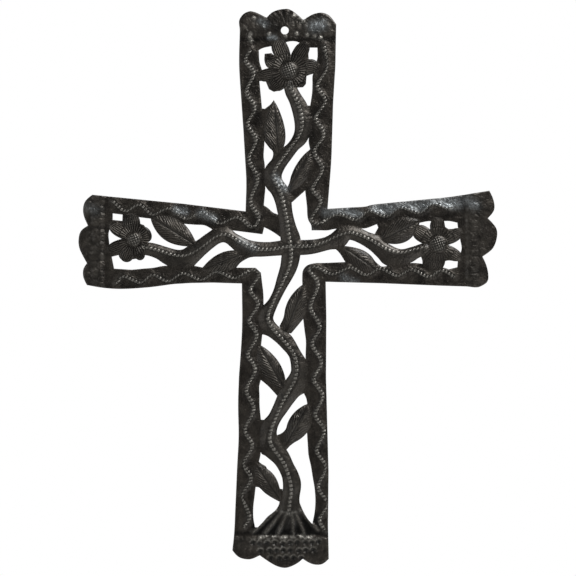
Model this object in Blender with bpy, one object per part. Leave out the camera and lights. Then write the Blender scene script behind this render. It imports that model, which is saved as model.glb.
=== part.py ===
"""A hanging cross, cut from the flattened steel of a used drum and hammered by hand.

The whole cross is one piece of sheet. Its shape is drawn as the smith draws it: an outer edge with
scalloped ends, a border along it, and inside the border a vine with leaves and three flowers. What
lies between them is cut away. The sheet is then raised from behind: a crest runs along every chased
line, the leaves and petals are domed, and the ends and the root are fluted.

Plan sizes are millimetres on the pattern, x to the right and z up, with the nail hole at (0, 0).
The front faces -Y, and the back lies against a wall.
"""

import math

import bmesh
import bpy
import numpy as np
from mathutils import Vector
from mathutils.geometry import delaunay_2d_cdt

MM = 0.001

# Driving sizes, in millimetres.
CROSS_HEIGHT = 330.2
CROSS_WIDTH = 247.3
SHEET_THICKNESS = 1.2
NAIL_HOLE_DIAMETER = 4.7

# How far each form is raised above the flat sheet.
BORDER_CREST = 0.7
STEM_CREST = 1.6
LEAF_DOME = 1.6
LEAF_MIDRIB_DEPTH = 0.7
PETAL_DOME = 1.0
BOSS_HEIGHT = 1.9
END_PAD = 0.8
ROOT_RIB = 1.1

# How wide the raised forms are.
BORDER_CREST_WIDTH = 6.4
LEAF_MIDRIB_WIDTH = 1.4
ROOT_RIB_WIDTH = 2.3
END_BAND_DEPTH = 13.0
END_BAND_SLOPE = 3.5

# Mesh fineness.
EDGE_STEP = 1.6
EDGE_TOLERANCE = 0.11
SHORTEST_EDGE = 0.7
LEAST_WINDOW = 6.0
FILL_PITCH = 4.6
FEATURE_STEP = 3.4
LEAST_GAP = 1.25
MERGE = 1e-4

# Outer edge, clockwise from the top left corner. Each run is one smooth curve, and two runs meet in
# a corner, so a run starts where the one before it ended.
OUTER_START = (-26.7, 6.6)
OUTER_RUNS = (
    # top scallops
    ((-24.6, 9.6), (-20.5, 11.4), (-16.0, 9.9), (-10.8, 7.6)),
    ((-6.5, 11.3), (0.2, 12.8), (4.6, 11.5), (11.0, 6.2)),
    ((15.5, 9.0), (20.8, 10.5), (26.0, 9.0), (30.4, 3.6)),
    # right side of the top arm, then the upper side of the right arm
    ((29.9, -22.0), (28.7, -41.0), (28.2, -58.0), (27.6, -75.0), (26.7, -88.0), (25.3, -105.3)),
    ((31.0, -104.9), (47.0, -104.0), (52.0, -102.9), (70.0, -100.9), (95.0, -98.6), (121.0, -94.6)),
    # right scallops
    ((123.5, -100.2), (123.8, -106.0), (120.1, -110.9)),
    ((124.9, -116.4), (125.5, -122.0), (123.0, -128.7), (116.9, -133.5)),
    ((119.4, -139.2), (120.4, -145.0), (119.4, -148.8), (115.0, -151.4)),
    # lower side of the right arm, then the right side of the foot
    ((95.0, -150.8), (72.0, -149.9), (55.0, -149.2), (24.2, -148.4)),
    ((24.6, -170.0), (24.4, -203.0), (25.2, -232.0), (25.9, -262.0), (25.6, -292.0), (26.0, -312.0)),
    # bottom scallops
    ((22.3, -315.0), (18.0, -315.4), (14.5, -314.3), (10.7, -312.0)),
    ((6.0, -315.4), (0.0, -317.3), (-6.5, -315.4), (-14.8, -309.9)),
    ((-20.8, -312.2), (-27.0, -311.0), (-31.0, -306.9)),
    # left side of the foot, then the lower side of the left arm
    ((-29.9, -296.0), (-28.9, -276.0), (-28.2, -258.0), (-27.3, -240.0), (-27.6, -222.0), (-27.2, -206.0),
     (-26.0, -189.0), (-25.2, -172.0), (-25.4, -149.4)),
    ((-45.0, -148.9), (-64.0, -149.6), (-80.0, -151.6), (-96.0, -152.6), (-107.0, -152.0), (-117.0, -150.3)),
    # left scallops
    ((-119.1, -145.6), (-119.1, -141.0), (-117.0, -137.4)),
    ((-121.3, -129.0), (-121.9, -123.0), (-120.4, -118.2), (-116.4, -115.2)),
    ((-118.8, -109.5), (-119.2, -104.5), (-117.6, -100.3), (-113.8, -97.0)),
    # upper side of the left arm, then the left side of the top arm
    ((-95.0, -98.8), (-60.0, -102.3), (-40.0, -104.7), (-23.2, -106.8)),
    ((-22.8, -88.0), (-24.1, -65.0), (-25.8, -40.0), (-27.0, -20.0), (-26.6, 0.0), (-26.7, 6.6)),
)

# Inner edge of the border, clockwise from the upper left corner of the top arm.
PANEL = (
    # under the top scallops
    (-15.4, -11.6), (-13.6, -10.6), (-8.7, -9.4), (1.7, -6.6), (8.1, -6.9), (14.7, -10.1), (19.3, -10.1),
    # right side of the top arm
    (19.1, -17.1), (16.5, -26.3), (16.2, -36.0), (15.0, -44.5), (14.1, -65.6), (15.1, -71.0),
    (12.0, -94.3), (13.0, -102.0), (14.1, -112.3), (15.6, -115.0), (15.9, -118.0),
    # upper side of the right arm, and its end
    (25.5, -118.0), (29.6, -117.2), (46.9, -116.9), (54.2, -114.4), (78.5, -113.8), (85.3, -112.6),
    (97.0, -112.5), (102.1, -113.5), (102.4, -116.4), (103.9, -124.0), (104.5, -129.7), (102.2, -136.8),
    (102.1, -139.7),
    # lower side of the right arm
    (97.0, -141.0), (94.8, -140.2), (81.7, -137.7), (74.9, -137.3), (58.0, -139.4), (35.9, -136.7),
    (17.0, -137.5), (13.2, -138.7), (11.0, -141.2), (10.3, -146.5),
    # right side of the foot
    (10.4, -151.2), (10.9, -170.8), (12.5, -184.0), (12.3, -192.6), (11.4, -214.0), (12.6, -217.0),
    (13.3, -220.4), (13.1, -237.4), (14.0, -250.5), (15.4, -257.0), (16.4, -263.5), (17.7, -271.0),
    (18.1, -278.0), (17.7, -284.0), (16.3, -291.3),
    # left side of the foot
    (-17.6, -293.3), (-18.5, -288.5), (-18.6, -281.5), (-17.2, -269.3), (-15.3, -254.8), (-14.3, -249.9),
    (-14.1, -229.3), (-14.9, -221.0), (-15.0, -209.5), (-14.0, -205.9), (-14.1, -186.8), (-13.3, -179.6),
    (-12.5, -161.6), (-12.7, -155.0), (-14.1, -143.0), (-17.3, -140.1),
    # lower side of the left arm, and its end
    (-28.8, -140.0), (-48.2, -140.0), (-53.5, -138.9), (-71.0, -138.9), (-78.0, -140.1), (-91.0, -141.2),
    (-101.0, -140.6), (-102.4, -133.6), (-103.9, -125.8), (-104.0, -118.6), (-101.8, -112.0),
    (-101.8, -108.0),
    # upper side of the left arm
    (-96.2, -108.7), (-86.0, -110.3), (-79.3, -111.1), (-60.3, -114.1), (-47.0, -115.2), (-42.8, -117.5),
    (-30.0, -118.1), (-13.2, -120.3),
    # left side of the top arm
    (-12.2, -116.2), (-12.4, -102.2), (-11.5, -93.0), (-11.8, -79.9), (-12.5, -74.0), (-12.0, -64.8),
    (-13.5, -45.5), (-14.2, -37.5), (-15.0, -29.9), (-13.2, -24.0), (-14.7, -19.5),
)

# Vine. Each row is a point of the chased line and how far the stem reaches to either side of it:
# first to the left of the stem's way down, or below it on the way across, then to the other side.
MAIN_STEM = (
    (2.4, -32.0, 3.4, 4.2), (4.3, -36.0, 4.2, 3.7), (6.4, -40.2, 4.3, 4.0), (8.6, -45.5, 4.7, 5.0),
    (10.0, -52.0, 4.6, 5.4), (9.9, -58.0, 4.1, 5.8), (7.8, -63.0, 3.1, 5.7), (4.3, -67.8, 2.6, 4.5),
    (0.5, -73.2, 4.2, 4.3), (-3.2, -78.0, 4.5, 4.5), (-6.2, -83.5, 6.0, 4.8), (-6.0, -88.5, 6.5, 4.5),
    (-3.4, -93.5, 5.5, 5.0), (-1.6, -98.5, 4.9, 5.6), (-0.4, -104.0, 4.7, 4.6), (0.9, -110.0, 4.6, 4.2),
    (1.9, -117.0, 4.9, 5.2), (2.8, -123.5, 5.3, 6.6), (3.7, -129.5, 5.3, 5.9), (3.8, -134.0, 5.9, 5.2),
    (2.9, -139.3, 5.6, 4.6), (0.7, -144.5, 4.8, 4.2), (-1.9, -150.0, 3.8, 3.6), (-4.9, -156.0, 2.7, 3.4),
    (-7.3, -161.5, 3.5, 3.2), (-9.2, -166.5, 6.0, 3.1), (-9.8, -170.5, 6.0, 3.0), (-8.4, -174.2, 6.5, 3.2),
    (-5.0, -178.8, 4.1, 4.0), (-1.0, -183.0, 3.8, 5.5), (2.6, -187.2, 3.4, 4.9), (5.4, -191.5, 3.1, 4.5),
    (6.9, -197.0, 3.4, 6.4), (6.9, -202.0, 3.4, 6.5), (5.6, -206.8, 4.5, 7.4), (3.0, -211.8, 5.2, 7.2),
    (0.0, -217.0, 4.6, 5.9), (-2.8, -222.6, 4.2, 5.0), (-5.2, -228.5, 4.6, 3.5), (-7.3, -234.0, 6.8, 3.1),
    (-8.7, -239.5, 6.5, 4.2), (-8.3, -244.0, 6.6, 5.4), (-5.6, -248.6, 5.4, 6.0), (-2.4, -252.8, 4.8, 5.7),
    (0.3, -257.5, 4.6, 5.1), (2.0, -262.5, 3.9, 6.0), (3.4, -268.0, 4.6, 6.3), (3.8, -273.0, 5.2, 5.4),
    (3.0, -278.0, 5.8, 5.9), (2.5, -283.0, 7.3, 8.6), (2.0, -288.5, 13.0, 12.2), (2.0, -296.0, 21.0, 17.0),
)
CROSS_STEM = (
    (-89.0, -126.5, 4.0, 3.0), (-84.0, -128.0, 4.3, 3.2), (-79.0, -128.7, 4.6, 3.4), (-74.0, -130.2, 5.0, 3.5),
    (-69.0, -131.8, 6.6, 3.6), (-63.0, -133.1, 8.0, 3.6), (-58.0, -132.7, 8.0, 4.3), (-53.0, -130.5, 5.7, 5.2),
    (-48.0, -127.3, 4.4, 5.0), (-43.5, -123.8, 4.3, 4.8), (-39.5, -121.2, 4.5, 4.9), (-35.0, -120.6, 4.6, 5.0),
    (-31.0, -122.2, 5.0, 3.2), (-27.5, -124.6, 5.5, 3.6), (-23.0, -127.0, 7.0, 3.8), (-17.5, -129.0, 4.8, 4.5),
    (-12.0, -129.4, 4.1, 4.5), (-6.0, -129.1, 4.0, 4.5), (0.0, -128.0, 4.8, 4.4), (5.0, -127.6, 5.0, 4.2),
    (11.0, -127.6, 5.0, 3.9), (17.0, -127.0, 4.8, 3.9), (23.0, -125.2, 5.1, 2.9), (28.0, -122.7, 6.6, 2.7),
    (33.0, -120.7, 7.0, 4.4), (38.0, -119.4, 4.4, 4.0), (43.0, -120.5, 4.3, 4.2), (48.0, -122.6, 4.7, 3.9),
    (53.0, -125.1, 5.3, 4.6), (58.0, -128.1, 6.6, 3.6), (63.0, -130.4, 9.0, 3.2), (68.5, -131.2, 8.0, 2.1),
    (73.5, -130.3, 6.8, 2.1), (78.0, -129.0, 5.4, 2.2), (83.0, -128.0, 4.8, 2.8), (90.0, -127.0, 4.5, 3.5),
)

# Leaves: base, tip, width to the right and to the left of the way to the tip, and where along that
# way the leaf is widest.
LEAVES = (
    ((-3.6, -72.5), (-6.6, -41.0), 5.1, 7.6, 0.38),
    ((1.5, -96.0), (15.4, -69.8), 6.5, 3.2, 0.52),
    ((0.2, -179.0), (11.5, -149.5), 6.9, 5.4, 0.52),
    ((0.5, -212.5), (-15.5, -185.2), 5.0, 7.8, 0.48),
    ((0.0, -246.0), (14.0, -220.3), 7.6, 5.5, 0.54),
    ((-1.5, -279.0), (-17.5, -256.0), 5.4, 5.8, 0.56),
    ((-51.5, -127.5), (-79.5, -110.0), 7.5, 7.1, 0.54),
    ((-24.0, -131.5), (-50.0, -142.0), 5.4, 6.5, 0.44),
    ((56.0, -124.5), (80.0, -112.5), 7.2, 7.5, 0.52),
    ((33.5, -127.0), (55.5, -142.5), 6.4, 5.4, 0.56),
)
LEAF_FULLNESS = 0.8

# Flowers: centre, radius of the boss, then each petal's direction in degrees, length and half width.
FLOWERS = (
    ((2.5, -23.8), 5.2, ((112, 21.0, 4.9), (151, 14.6, 4.4), (191, 19.0, 3.9), (224, 14.6, 5.4),
                         (312, 11.6, 4.2), (11, 18.0, 4.6), (58, 20.0, 4.4))),
    ((-89.2, -123.6), 4.2, ((98, 16.0, 5.1), (25, 11.0, 4.8), (291, 12.8, 3.3), (245, 14.2, 4.2),
                            (203, 17.0, 3.8), (147, 17.0, 3.9))),
    ((90.5, -126.3), 5.2, ((92, 16.0, 4.3), (29, 16.5, 3.9), (328, 16.5, 3.6), (257, 16.0, 6.6),
                           (146, 17.0, 4.9))),
)
PETAL_NECK = 0.45
PETAL_SHOULDER = 0.62

# Bits of sheet left standing between the motifs and the border.
WEBS = (
    # square ends of three petals of the top flower
    ((-11.9, -13.7), (-7.9, -13.3), (-4.0, -20.0), (-8.0, -24.0), (-10.7, -21.3), (-12.0, -18.2)),
    ((-11.2, -30.2), (-9.4, -34.6), (-6.5, -36.2), (-2.7, -35.4), (-0.6, -33.3), (0.0, -28.0),
     (-8.0, -26.0), (-12.0, -28.0)),
    ((7.2, -33.7), (10.8, -33.5), (12.5, -31.6), (12.9, -26.8), (10.0, -22.0), (4.0, -26.0)),
    # in the top arm
    ((12.6, -44.3), (16.0, -44.3), (16.0, -52.0), (11.0, -50.0)),
    ((14.1, -12.6), (14.2, -17.2), (11.5, -17.5), (11.8, -12.0)),
    ((-13.7, -46.0), (-11.8, -46.2), (-8.0, -42.4), (-6.5, -60.0), (-11.9, -65.4)),
    ((-7.4, -70.4), (-6.9, -72.4), (-7.4, -75.4), (-3.0, -77.0), (-2.0, -71.0)),
    ((4.2, -101.2), (0.0, -96.0), (2.0, -91.4), (6.0, -86.0), (14.0, -86.0), (12.0, -94.6)),
    # about the crossing
    ((-12.9, -102.9), (-12.6, -116.0), (-9.3, -117.6), (-5.2, -120.1), (-2.2, -122.3), (3.0, -116.0),
     (0.0, -108.0), (-4.7, -108.8), (-7.0, -107.4), (-10.2, -104.6)),
    ((-28.8, -140.2), (-26.3, -137.2), (-23.8, -135.5), (-20.9, -134.1), (-16.8, -133.4), (-17.0, -130.0),
     (-29.0, -130.0)),
    ((26.6, -129.4), (30.2, -129.2), (31.6, -130.5), (33.6, -133.3), (36.0, -137.0), (39.0, -131.0),
     (33.0, -126.0), (26.0, -127.0)),
    # in the foot
    ((1.7, -178.6), (3.8, -178.9), (10.9, -170.4), (10.0, -168.6), (4.0, -170.0)),
    ((-15.0, -229.8), (-12.1, -229.9), (-14.0, -233.0), (-15.0, -233.0)),
    ((-3.2, -270.6), (-1.3, -270.8), (-1.0, -276.0), (-3.0, -276.0)),
    ((0.4, -165.5), (-0.7, -169.3), (-1.9, -172.0), (-3.2, -174.6), (0.0, -180.0), (3.0, -176.0)),
    ((-13.4, -179.5), (-12.6, -179.6), (-9.3, -181.5), (-5.6, -183.7), (-3.0, -180.0), (-8.0, -174.0)),
    ((-4.5, -215.8), (-10.2, -209.6), (-14.8, -205.8), (-14.8, -203.0), (2.0, -210.0)),
    ((12.6, -214.8), (11.3, -214.3), (9.5, -215.1), (5.0, -211.0), (12.0, -209.0)),
    ((0.4, -234.9), (-2.6, -238.2), (-4.6, -238.9), (-6.0, -243.0), (1.0, -247.6), (3.4, -245.0),
     (7.2, -242.1), (6.0, -236.0)),
    ((-14.6, -248.5), (-13.6, -250.1), (-11.8, -251.0), (-9.3, -253.0), (-6.5, -250.0), (-9.0, -245.0)),
    ((-15.5, -254.4), (-13.9, -255.8), (-11.0, -257.7), (-9.0, -262.0), (-17.0, -263.0)),
    ((-17.4, -262.0), (-17.5, -269.5), (-15.5, -269.7), (-12.6, -271.9), (-9.0, -268.0)),
    # in the left arm
    ((-95.9, -107.5), (-96.1, -112.4), (-101.9, -111.8), (-101.0, -114.5), (-95.0, -117.0), (-91.0, -109.0)),
    ((-86.3, -113.8), (-83.3, -114.9), (-81.5, -117.5), (-87.0, -117.5)),
    ((-103.0, -133.6), (-98.3, -132.6), (-97.6, -134.4), (-95.0, -133.0), (-96.0, -129.0), (-103.0, -130.5)),
    ((-92.8, -136.2), (-90.6, -135.2), (-87.6, -134.8), (-88.0, -130.0), (-93.0, -130.0)),
    # in the right arm
    ((53.0, -120.4), (55.3, -116.3), (54.2, -113.8), (64.0, -113.8), (64.0, -122.0), (56.0, -124.0)),
    ((52.5, -135.4), (57.6, -139.9), (50.0, -140.5), (46.0, -133.5)),
    ((94.2, -112.0), (94.9, -116.0), (96.8, -117.2), (99.4, -116.7), (99.0, -120.0), (91.5, -120.0)),
    ((80.6, -133.0), (81.3, -135.6), (81.5, -138.2), (85.0, -136.0), (84.5, -131.0)),
    ((94.2, -136.3), (96.8, -135.8), (99.0, -136.0), (97.5, -132.0), (93.0, -131.0)),
)

# Chased waves of the border. Each has its first nick, then two rows of turning points that alternate
# to either side of a line along one side of an arm: where the line starts and ends, how far its first
# turn swings to the left, and how far along the line each turn lies. Together the two rows make one
# wave round an inner corner.
WAVES = (
    ((-19.9, -11.0),
     ((-21.4, -8.0), (-17.6, -112.0), -2.3, (10, 17.5, 28.5, 38, 47.5, 57, 68, 80, 93, 103)),
     ((-18.5, -114.0), (-104.0, -103.0), 2.4, (1, 10, 20, 31, 40, 50.5, 60, 68, 76, 84))),
    ((23.0, -8.0),
     ((23.1, -6.0), (18.1, -112.0), 2.6, (15.5, 27, 35.5, 46, 55.5, 66, 76, 88, 95, 105.5)),
     ((19.0, -112.2), (104.0, -103.0), -2.1, (0.5, 12.5, 23, 31.5, 41, 50, 60.5, 69, 79))),
    ((-24.6, -293.6),
     ((-23.5, -294.0), (-17.4, -142.0), -2.4,
      (7, 19, 29.5, 38, 49, 58, 70.5, 81.5, 94, 102.5, 114, 122.5, 132.5, 140.5, 150)),
     ((-18.0, -143.6), (-104.0, -147.8), -2.1, (2, 12, 22, 31.5, 42, 51, 60, 67.5, 77, 81.5))),
    ((23.4, -295.0),
     ((23.4, -296.0), (16.8, -142.0), 2.5,
      (7.5, 16.5, 26.5, 38, 48, 59.5, 69, 80, 90, 100, 111, 121, 132.5, 146, 154.5)),
     ((15.5, -141.6), (104.0, -144.0), 2.0, (2.7, 12.7, 23, 32.5, 41, 51, 59.5, 69.5, 77, 85))),
)

# Root: where the stem ends, and the ribs that fan out from it to the end band, each from its top to
# its foot.
ROOT_TOP = -283.0
ROOT_LINES = (
    ((-4.9, -283.2), (-19.5, -296.5)), ((-1.6, -284.2), (-12.0, -296.8)), ((1.2, -285.0), (-4.2, -297.0)),
    ((4.4, -284.8), (5.0, -297.0)), ((6.4, -284.6), (11.5, -296.8)), ((8.9, -283.2), (19.5, -295.0)),
)

# Inner edge of the end bands: top, bottom, left and right.
BAND_TOP = -4.0
BAND_BOTTOM = -298.0
BAND_LEFT = -106.0
BAND_RIGHT = 106.0

STEEL_COLOUR = (0.045, 0.040, 0.034, 1.0)


def smooth(points, step):
    """Catmull-Rom curve through the rows of points, sampled about every step millimetres."""
    p = np.asarray(points, float)
    p = np.vstack([2 * p[0] - p[1], p, 2 * p[-1] - p[-2]])
    rows = []
    for a, b, c, d in zip(p, p[1:], p[2:], p[3:]):
        count = max(1, round(math.dist(b[:2], c[:2]) / step))
        t = np.arange(count)[:, None] / count
        rows.append(0.5 * (2 * b + (c - a) * t + (2 * a - 5 * b + 4 * c - d) * t**2
                           + (3 * b - a - 3 * c + d) * t**3))
    return np.vstack([*rows, p[-2]])


def left_of(path):
    """Unit vectors at right angles to the path, to the left of its direction."""
    way = np.gradient(path[:, :2], axis=0)
    way /= np.linalg.norm(way, axis=1)[:, None]
    return np.column_stack([-way[:, 1], way[:, 0]])


def outer_edge():
    start, rows = OUTER_START, []
    for run in OUTER_RUNS:
        rows.append(smooth((start, *run), EDGE_STEP)[:-1])
        start = run[-1]
    return np.vstack(rows)


def stem_quads(stem):
    """The stem as a row of four-sided patches between its two cut edges."""
    path = smooth(stem, EDGE_STEP)
    side = left_of(path)
    low = path[:, :2] - side * path[:, 2:3]
    high = path[:, :2] + side * path[:, 3:4]
    return [np.array(quad) for quad in zip(low, low[1:], high[1:], high)]


def leaf_half(t, belly):
    """Share of a leaf's half width at a share t of its length."""
    return np.sin(math.pi * np.clip(t, 0, 1) ** (math.log(0.5) / math.log(belly))) ** LEAF_FULLNESS


def leaf_outline(leaf):
    base, tip, right, left, belly = leaf
    base, tip = np.array(base), np.array(tip)
    length = np.linalg.norm(tip - base)
    t = np.linspace(0, 1, max(8, round(length / EDGE_STEP)))[:, None]
    side = np.array([base[1] - tip[1], tip[0] - base[0]]) / length
    middle, half = base + (tip - base) * t, leaf_half(t, belly)
    return np.vstack([middle - side * half * right, (middle + side * half * left)[-2:0:-1]])


def petal_half(t):
    """Share of a petal's half width: a neck at the flower's centre, full shoulders and a round end."""
    rise = PETAL_NECK + (1 - PETAL_NECK) * np.sin(0.5 * math.pi * np.clip(t / PETAL_SHOULDER, 0, 1))
    fall = np.clip((t - PETAL_SHOULDER) / (1 - PETAL_SHOULDER), 0, 1)
    return rise * np.sqrt(1 - fall**2.5)


def petal_outline(centre, petal):
    angle, length, half_width = petal
    way = np.array([math.cos(math.radians(angle)), math.sin(math.radians(angle))])
    side = np.array([-way[1], way[0]])
    t = np.sin(np.linspace(0, math.pi / 2, 12))[:, None]
    middle, half = np.array(centre) + way * length * t, petal_half(t) * half_width
    return np.vstack([middle - side * half, (middle + side * half)[::-1]])


def circle(radius, step):
    turns = np.arange(max(16, round(2 * math.pi * radius / step))) * 2 * math.pi
    turns /= len(turns)
    return radius * np.column_stack([np.cos(turns), np.sin(turns)])


def ring_area(ring):
    """Area in square millimetres, positive if the ring runs counter-clockwise."""
    x, z = ring.T
    return (x * np.roll(z, -1) - z * np.roll(x, -1)).sum() / 2


def counter_clockwise(ring):
    return ring if ring_area(ring) > 0 else ring[::-1]


def pattern_scale():
    """From the pattern to the cross: its width and height are the driving sizes."""
    edge = outer_edge()
    return np.array([CROSS_WIDTH, CROSS_HEIGHT]) / (edge.max(axis=0) - edge.min(axis=0))


def rings_of(patches):
    """Edges of the steel that is left: outer edge and panel first, then the motifs, then the nail hole.

    A triangulation of all the outlines tells for each triangle which patches hold it.
    """
    points, faces = [], []
    for patch in patches:
        faces.append(range(len(points), len(points) + len(patch)))
        points.extend(counter_clockwise(patch))
    found = delaunay_2d_cdt([Vector(p) for p in points], [], [list(f) for f in faces], 0, 1e-3)
    hole = len(patches) - 1
    steel = []
    for triangle, inside in zip(found[2], found[5]):
        held = set(inside)
        if 0 in held and hole not in held and (1 not in held or len(held) > 2):
            steel.append(triangle)
    edges = {(a, b) for t in steel for a, b in zip(t, (*t[1:], t[0]))}
    follow = {}
    for a, b in edges:
        if (b, a) not in edges:
            follow.setdefault(a, []).append(b)
    rings = []
    while follow:
        start = here = next(iter(follow))
        ring = []
        while here in follow:
            ring.append(found[0][here])
            ahead = follow[here].pop()
            if not follow[here]:
                del follow[here]
            here = ahead
            if here == start:
                break
        rings.append(np.array(ring))
    return [ring for ring in rings if abs(ring_area(ring)) > LEAST_WINDOW]


def simplified(ring):
    """The ring without points that its neighbours' line passes within the tolerance."""
    far = int(np.argmax(((ring - ring[0]) ** 2).sum(axis=1)))
    keep = {0, far}
    spans = [(0, far), (far, len(ring))]
    closed = np.vstack([ring, ring[:1]])
    while spans:
        a, b = spans.pop()
        if b - a < 2:
            continue
        chord = closed[b] - closed[a]
        gap = closed[a + 1:b] - closed[a]
        off = np.abs(gap[:, 0] * chord[1] - gap[:, 1] * chord[0]) / max(np.linalg.norm(chord), MERGE)
        worst = int(np.argmax(off))
        if off[worst] > EDGE_TOLERANCE:
            middle = a + 1 + worst
            keep.add(middle)
            spans += [(a, middle), (middle, b)]
    kept = closed[sorted(keep)]
    steps = np.linalg.norm(kept - np.roll(kept, 1, axis=0), axis=1)
    return kept[steps > SHORTEST_EDGE]


def split_long(ring, step):
    """The ring with long sides divided, so that raised forms have points along the edge."""
    rows = []
    for a, b in zip(ring, np.roll(ring, -1, axis=0)):
        count = max(1, math.ceil(math.dist(a, b) / step))
        rows.append(a + (b - a) * np.arange(count)[:, None] / count)
    return np.vstack(rows)


def nearest_on(path, points):
    """For each point: signed distance to the path, to its left, and the path's row values there."""
    best = np.full(len(points), np.inf)
    offset = np.zeros(len(points))
    values = np.zeros((len(points), path.shape[1]))
    for a, b in zip(path, path[1:]):
        way = b[:2] - a[:2]
        t = np.clip((points - a[:2]) @ way / (way @ way), 0, 1)
        gap = points - (a[:2] + t[:, None] * way)
        distance = np.linalg.norm(gap, axis=1)
        closer = distance < best
        best[closer] = distance[closer]
        offset[closer] = np.copysign(distance, way[0] * gap[:, 1] - way[1] * gap[:, 0])[closer]
        values[closer] = (a + t[:, None] * (b - a))[closer]
    return offset, values


def wave_path(wave):
    """Smooth line from a border wave's first nick through its turning points."""
    first, *rows = wave
    turns = [first]
    for start, end, swing, stations in rows:
        start, end = np.array(start), np.array(end)
        way = (end - start) / np.linalg.norm(end - start)
        across = np.array([-way[1], way[0]]) * swing
        turns += [start + way * s + across * (-1) ** i for i, s in enumerate(stations)]
    return smooth(turns, EDGE_STEP)


def leaf_frame(leaf, points):
    """Share of the way to the tip, and signed share of the leaf's width there."""
    base, tip, right, left, belly = leaf
    base, tip = np.array(base), np.array(tip)
    length = np.linalg.norm(tip - base)
    way = (tip - base) / length
    gap = points - base
    t = gap @ way / length
    across = gap @ np.array([-way[1], way[0]])
    half = np.where(across > 0, left, right) * np.maximum(leaf_half(t, belly), 0.02)
    return t, across, across / half


def raised_height(points):
    """How far the sheet is hammered up at each point of the pattern, in millimetres."""
    height = np.zeros(len(points))
    for wave in WAVES:
        offset, _ = nearest_on(wave_path(wave), points)
        share = np.clip(2 * np.abs(offset) / BORDER_CREST_WIDTH, 0, 1)
        height = np.maximum(height, BORDER_CREST * (1 - share**2) ** 2)
    for leaf in LEAVES:
        t, across, share = leaf_frame(leaf, points)
        dome = LEAF_DOME * (1 - share**2) * np.sin(math.pi * np.clip(t, 0, 1)) ** 0.5
        dome -= LEAF_MIDRIB_DEPTH * np.exp(-((2 * across / LEAF_MIDRIB_WIDTH) ** 2))
        height = np.where((np.abs(share) < 1) & (t > 0) & (t < 1), np.maximum(height, dome), height)
    for stem in (CROSS_STEM, MAIN_STEM):
        offset, values = nearest_on(smooth(stem, EDGE_STEP), points)
        reach = np.where(offset > 0, values[:, 3], values[:, 2])
        ends = (values[:, :2] != np.array(stem[0][:2])).any(axis=1) & (values[:, 1] > ROOT_TOP - 4)
        crest = STEM_CREST * (1 - np.minimum(np.abs(offset) / reach, 1) ** 1.4)
        height = np.where(ends, np.maximum(height, crest), height)
    height = np.maximum(height, root_height(points))
    height = np.maximum(height, band_height(points))
    for centre, boss, petals in FLOWERS:
        height = np.maximum(height, flower_height(points, np.array(centre), boss, petals))
    return height


def root_height(points):
    """Ribs that fan out below the stem, each a rounded fold about its line."""
    gap = np.full(len(points), np.inf)
    for line in ROOT_LINES:
        offset, _ = nearest_on(np.array(line), points)
        gap = np.minimum(gap, np.abs(offset))
    return ROOT_RIB * np.exp(-((2 * gap / ROOT_RIB_WIDTH) ** 2))


def band_height(points):
    """The four ends are raised as pads behind their scallops."""
    x, z = points.T
    deep = np.maximum.reduce([z - BAND_TOP, BAND_BOTTOM - z, BAND_LEFT - x, x - BAND_RIGHT])
    rise = np.clip(deep / END_BAND_SLOPE, 0, 1)
    fall = np.clip((END_BAND_DEPTH + END_BAND_SLOPE - deep) / END_BAND_DEPTH, 0, 1)
    return END_PAD * rise * (3 - 2 * rise) * rise * fall**0.5


def flower_height(points, centre, boss, petals):
    """Petals domed across and along, and a boss in their middle, in millimetres."""
    gap = points - centre
    radius = np.linalg.norm(gap, axis=1)
    height = np.zeros(len(points))
    for angle, length, half_width in petals:
        way = np.array([math.cos(math.radians(angle)), math.sin(math.radians(angle))])
        t = gap @ way / length
        half = half_width * np.maximum(petal_half(np.clip(t, 0, 1)), 0.05)
        share = np.abs(gap @ np.array([-way[1], way[0]])) / half
        dome = PETAL_DOME * np.clip(1 - share**2, 0, 1) ** 0.7 * np.sin(math.pi * np.clip(t, 0, 1)) ** 0.6
        height = np.where((t > 0) & (t < 1), np.maximum(height, dome), height)
    ball = BOSS_HEIGHT * np.sqrt(np.clip(1 - (radius / boss) ** 2, 0, 1))
    return np.where(radius < boss, np.maximum(ball, 0.35 * PETAL_DOME), height)


def feature_points():
    """Points on the crests, folds and midribs, so that the facets follow them."""
    rows = []
    for wave in WAVES:
        rows.append(smooth(wave_path(wave)[::2], FEATURE_STEP))
    for stem in (MAIN_STEM, CROSS_STEM):
        rows.append(smooth(stem, FEATURE_STEP)[:, :2])
    for base, tip, right, left, belly in LEAVES:
        base, tip = np.array(base), np.array(tip)
        side = np.array([base[1] - tip[1], tip[0] - base[0]]) / np.linalg.norm(tip - base)
        for share in (0, -0.5, 0.5):
            width = share * (left if share > 0 else right)
            for t in (0.16, 0.32, 0.48, 0.64, 0.8, 0.92):
                rows.append([base + (tip - base) * t + side * width * leaf_half(t, belly)])
    for centre, boss, petals in FLOWERS:
        rows.append([centre])
        for share in (0.55, 1.0, 1.3):
            rows.append(np.array(centre) + circle(boss * share, FEATURE_STEP))
        for angle, length, _ in petals:
            way = np.array([math.cos(math.radians(angle)), math.sin(math.radians(angle))])
            rows.append([np.array(centre) + way * length * t for t in (0.55, 0.75)])
    middles = [(np.array(left) + right) / 2 for left, right in zip(ROOT_LINES, ROOT_LINES[1:])]
    for line in [*map(np.array, ROOT_LINES), *middles]:
        rows.append(smooth(line, FEATURE_STEP))
    return np.vstack(rows)


def fill_points(low, high):
    """Staggered grid over the pattern."""
    xs = np.arange(low[0], high[0], FILL_PITCH)
    zs = np.arange(low[1], high[1], FILL_PITCH * 0.87)
    x, z = np.meshgrid(xs, zs)
    x[1::2] += FILL_PITCH / 2
    return np.column_stack([x.ravel(), z.ravel()])


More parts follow.
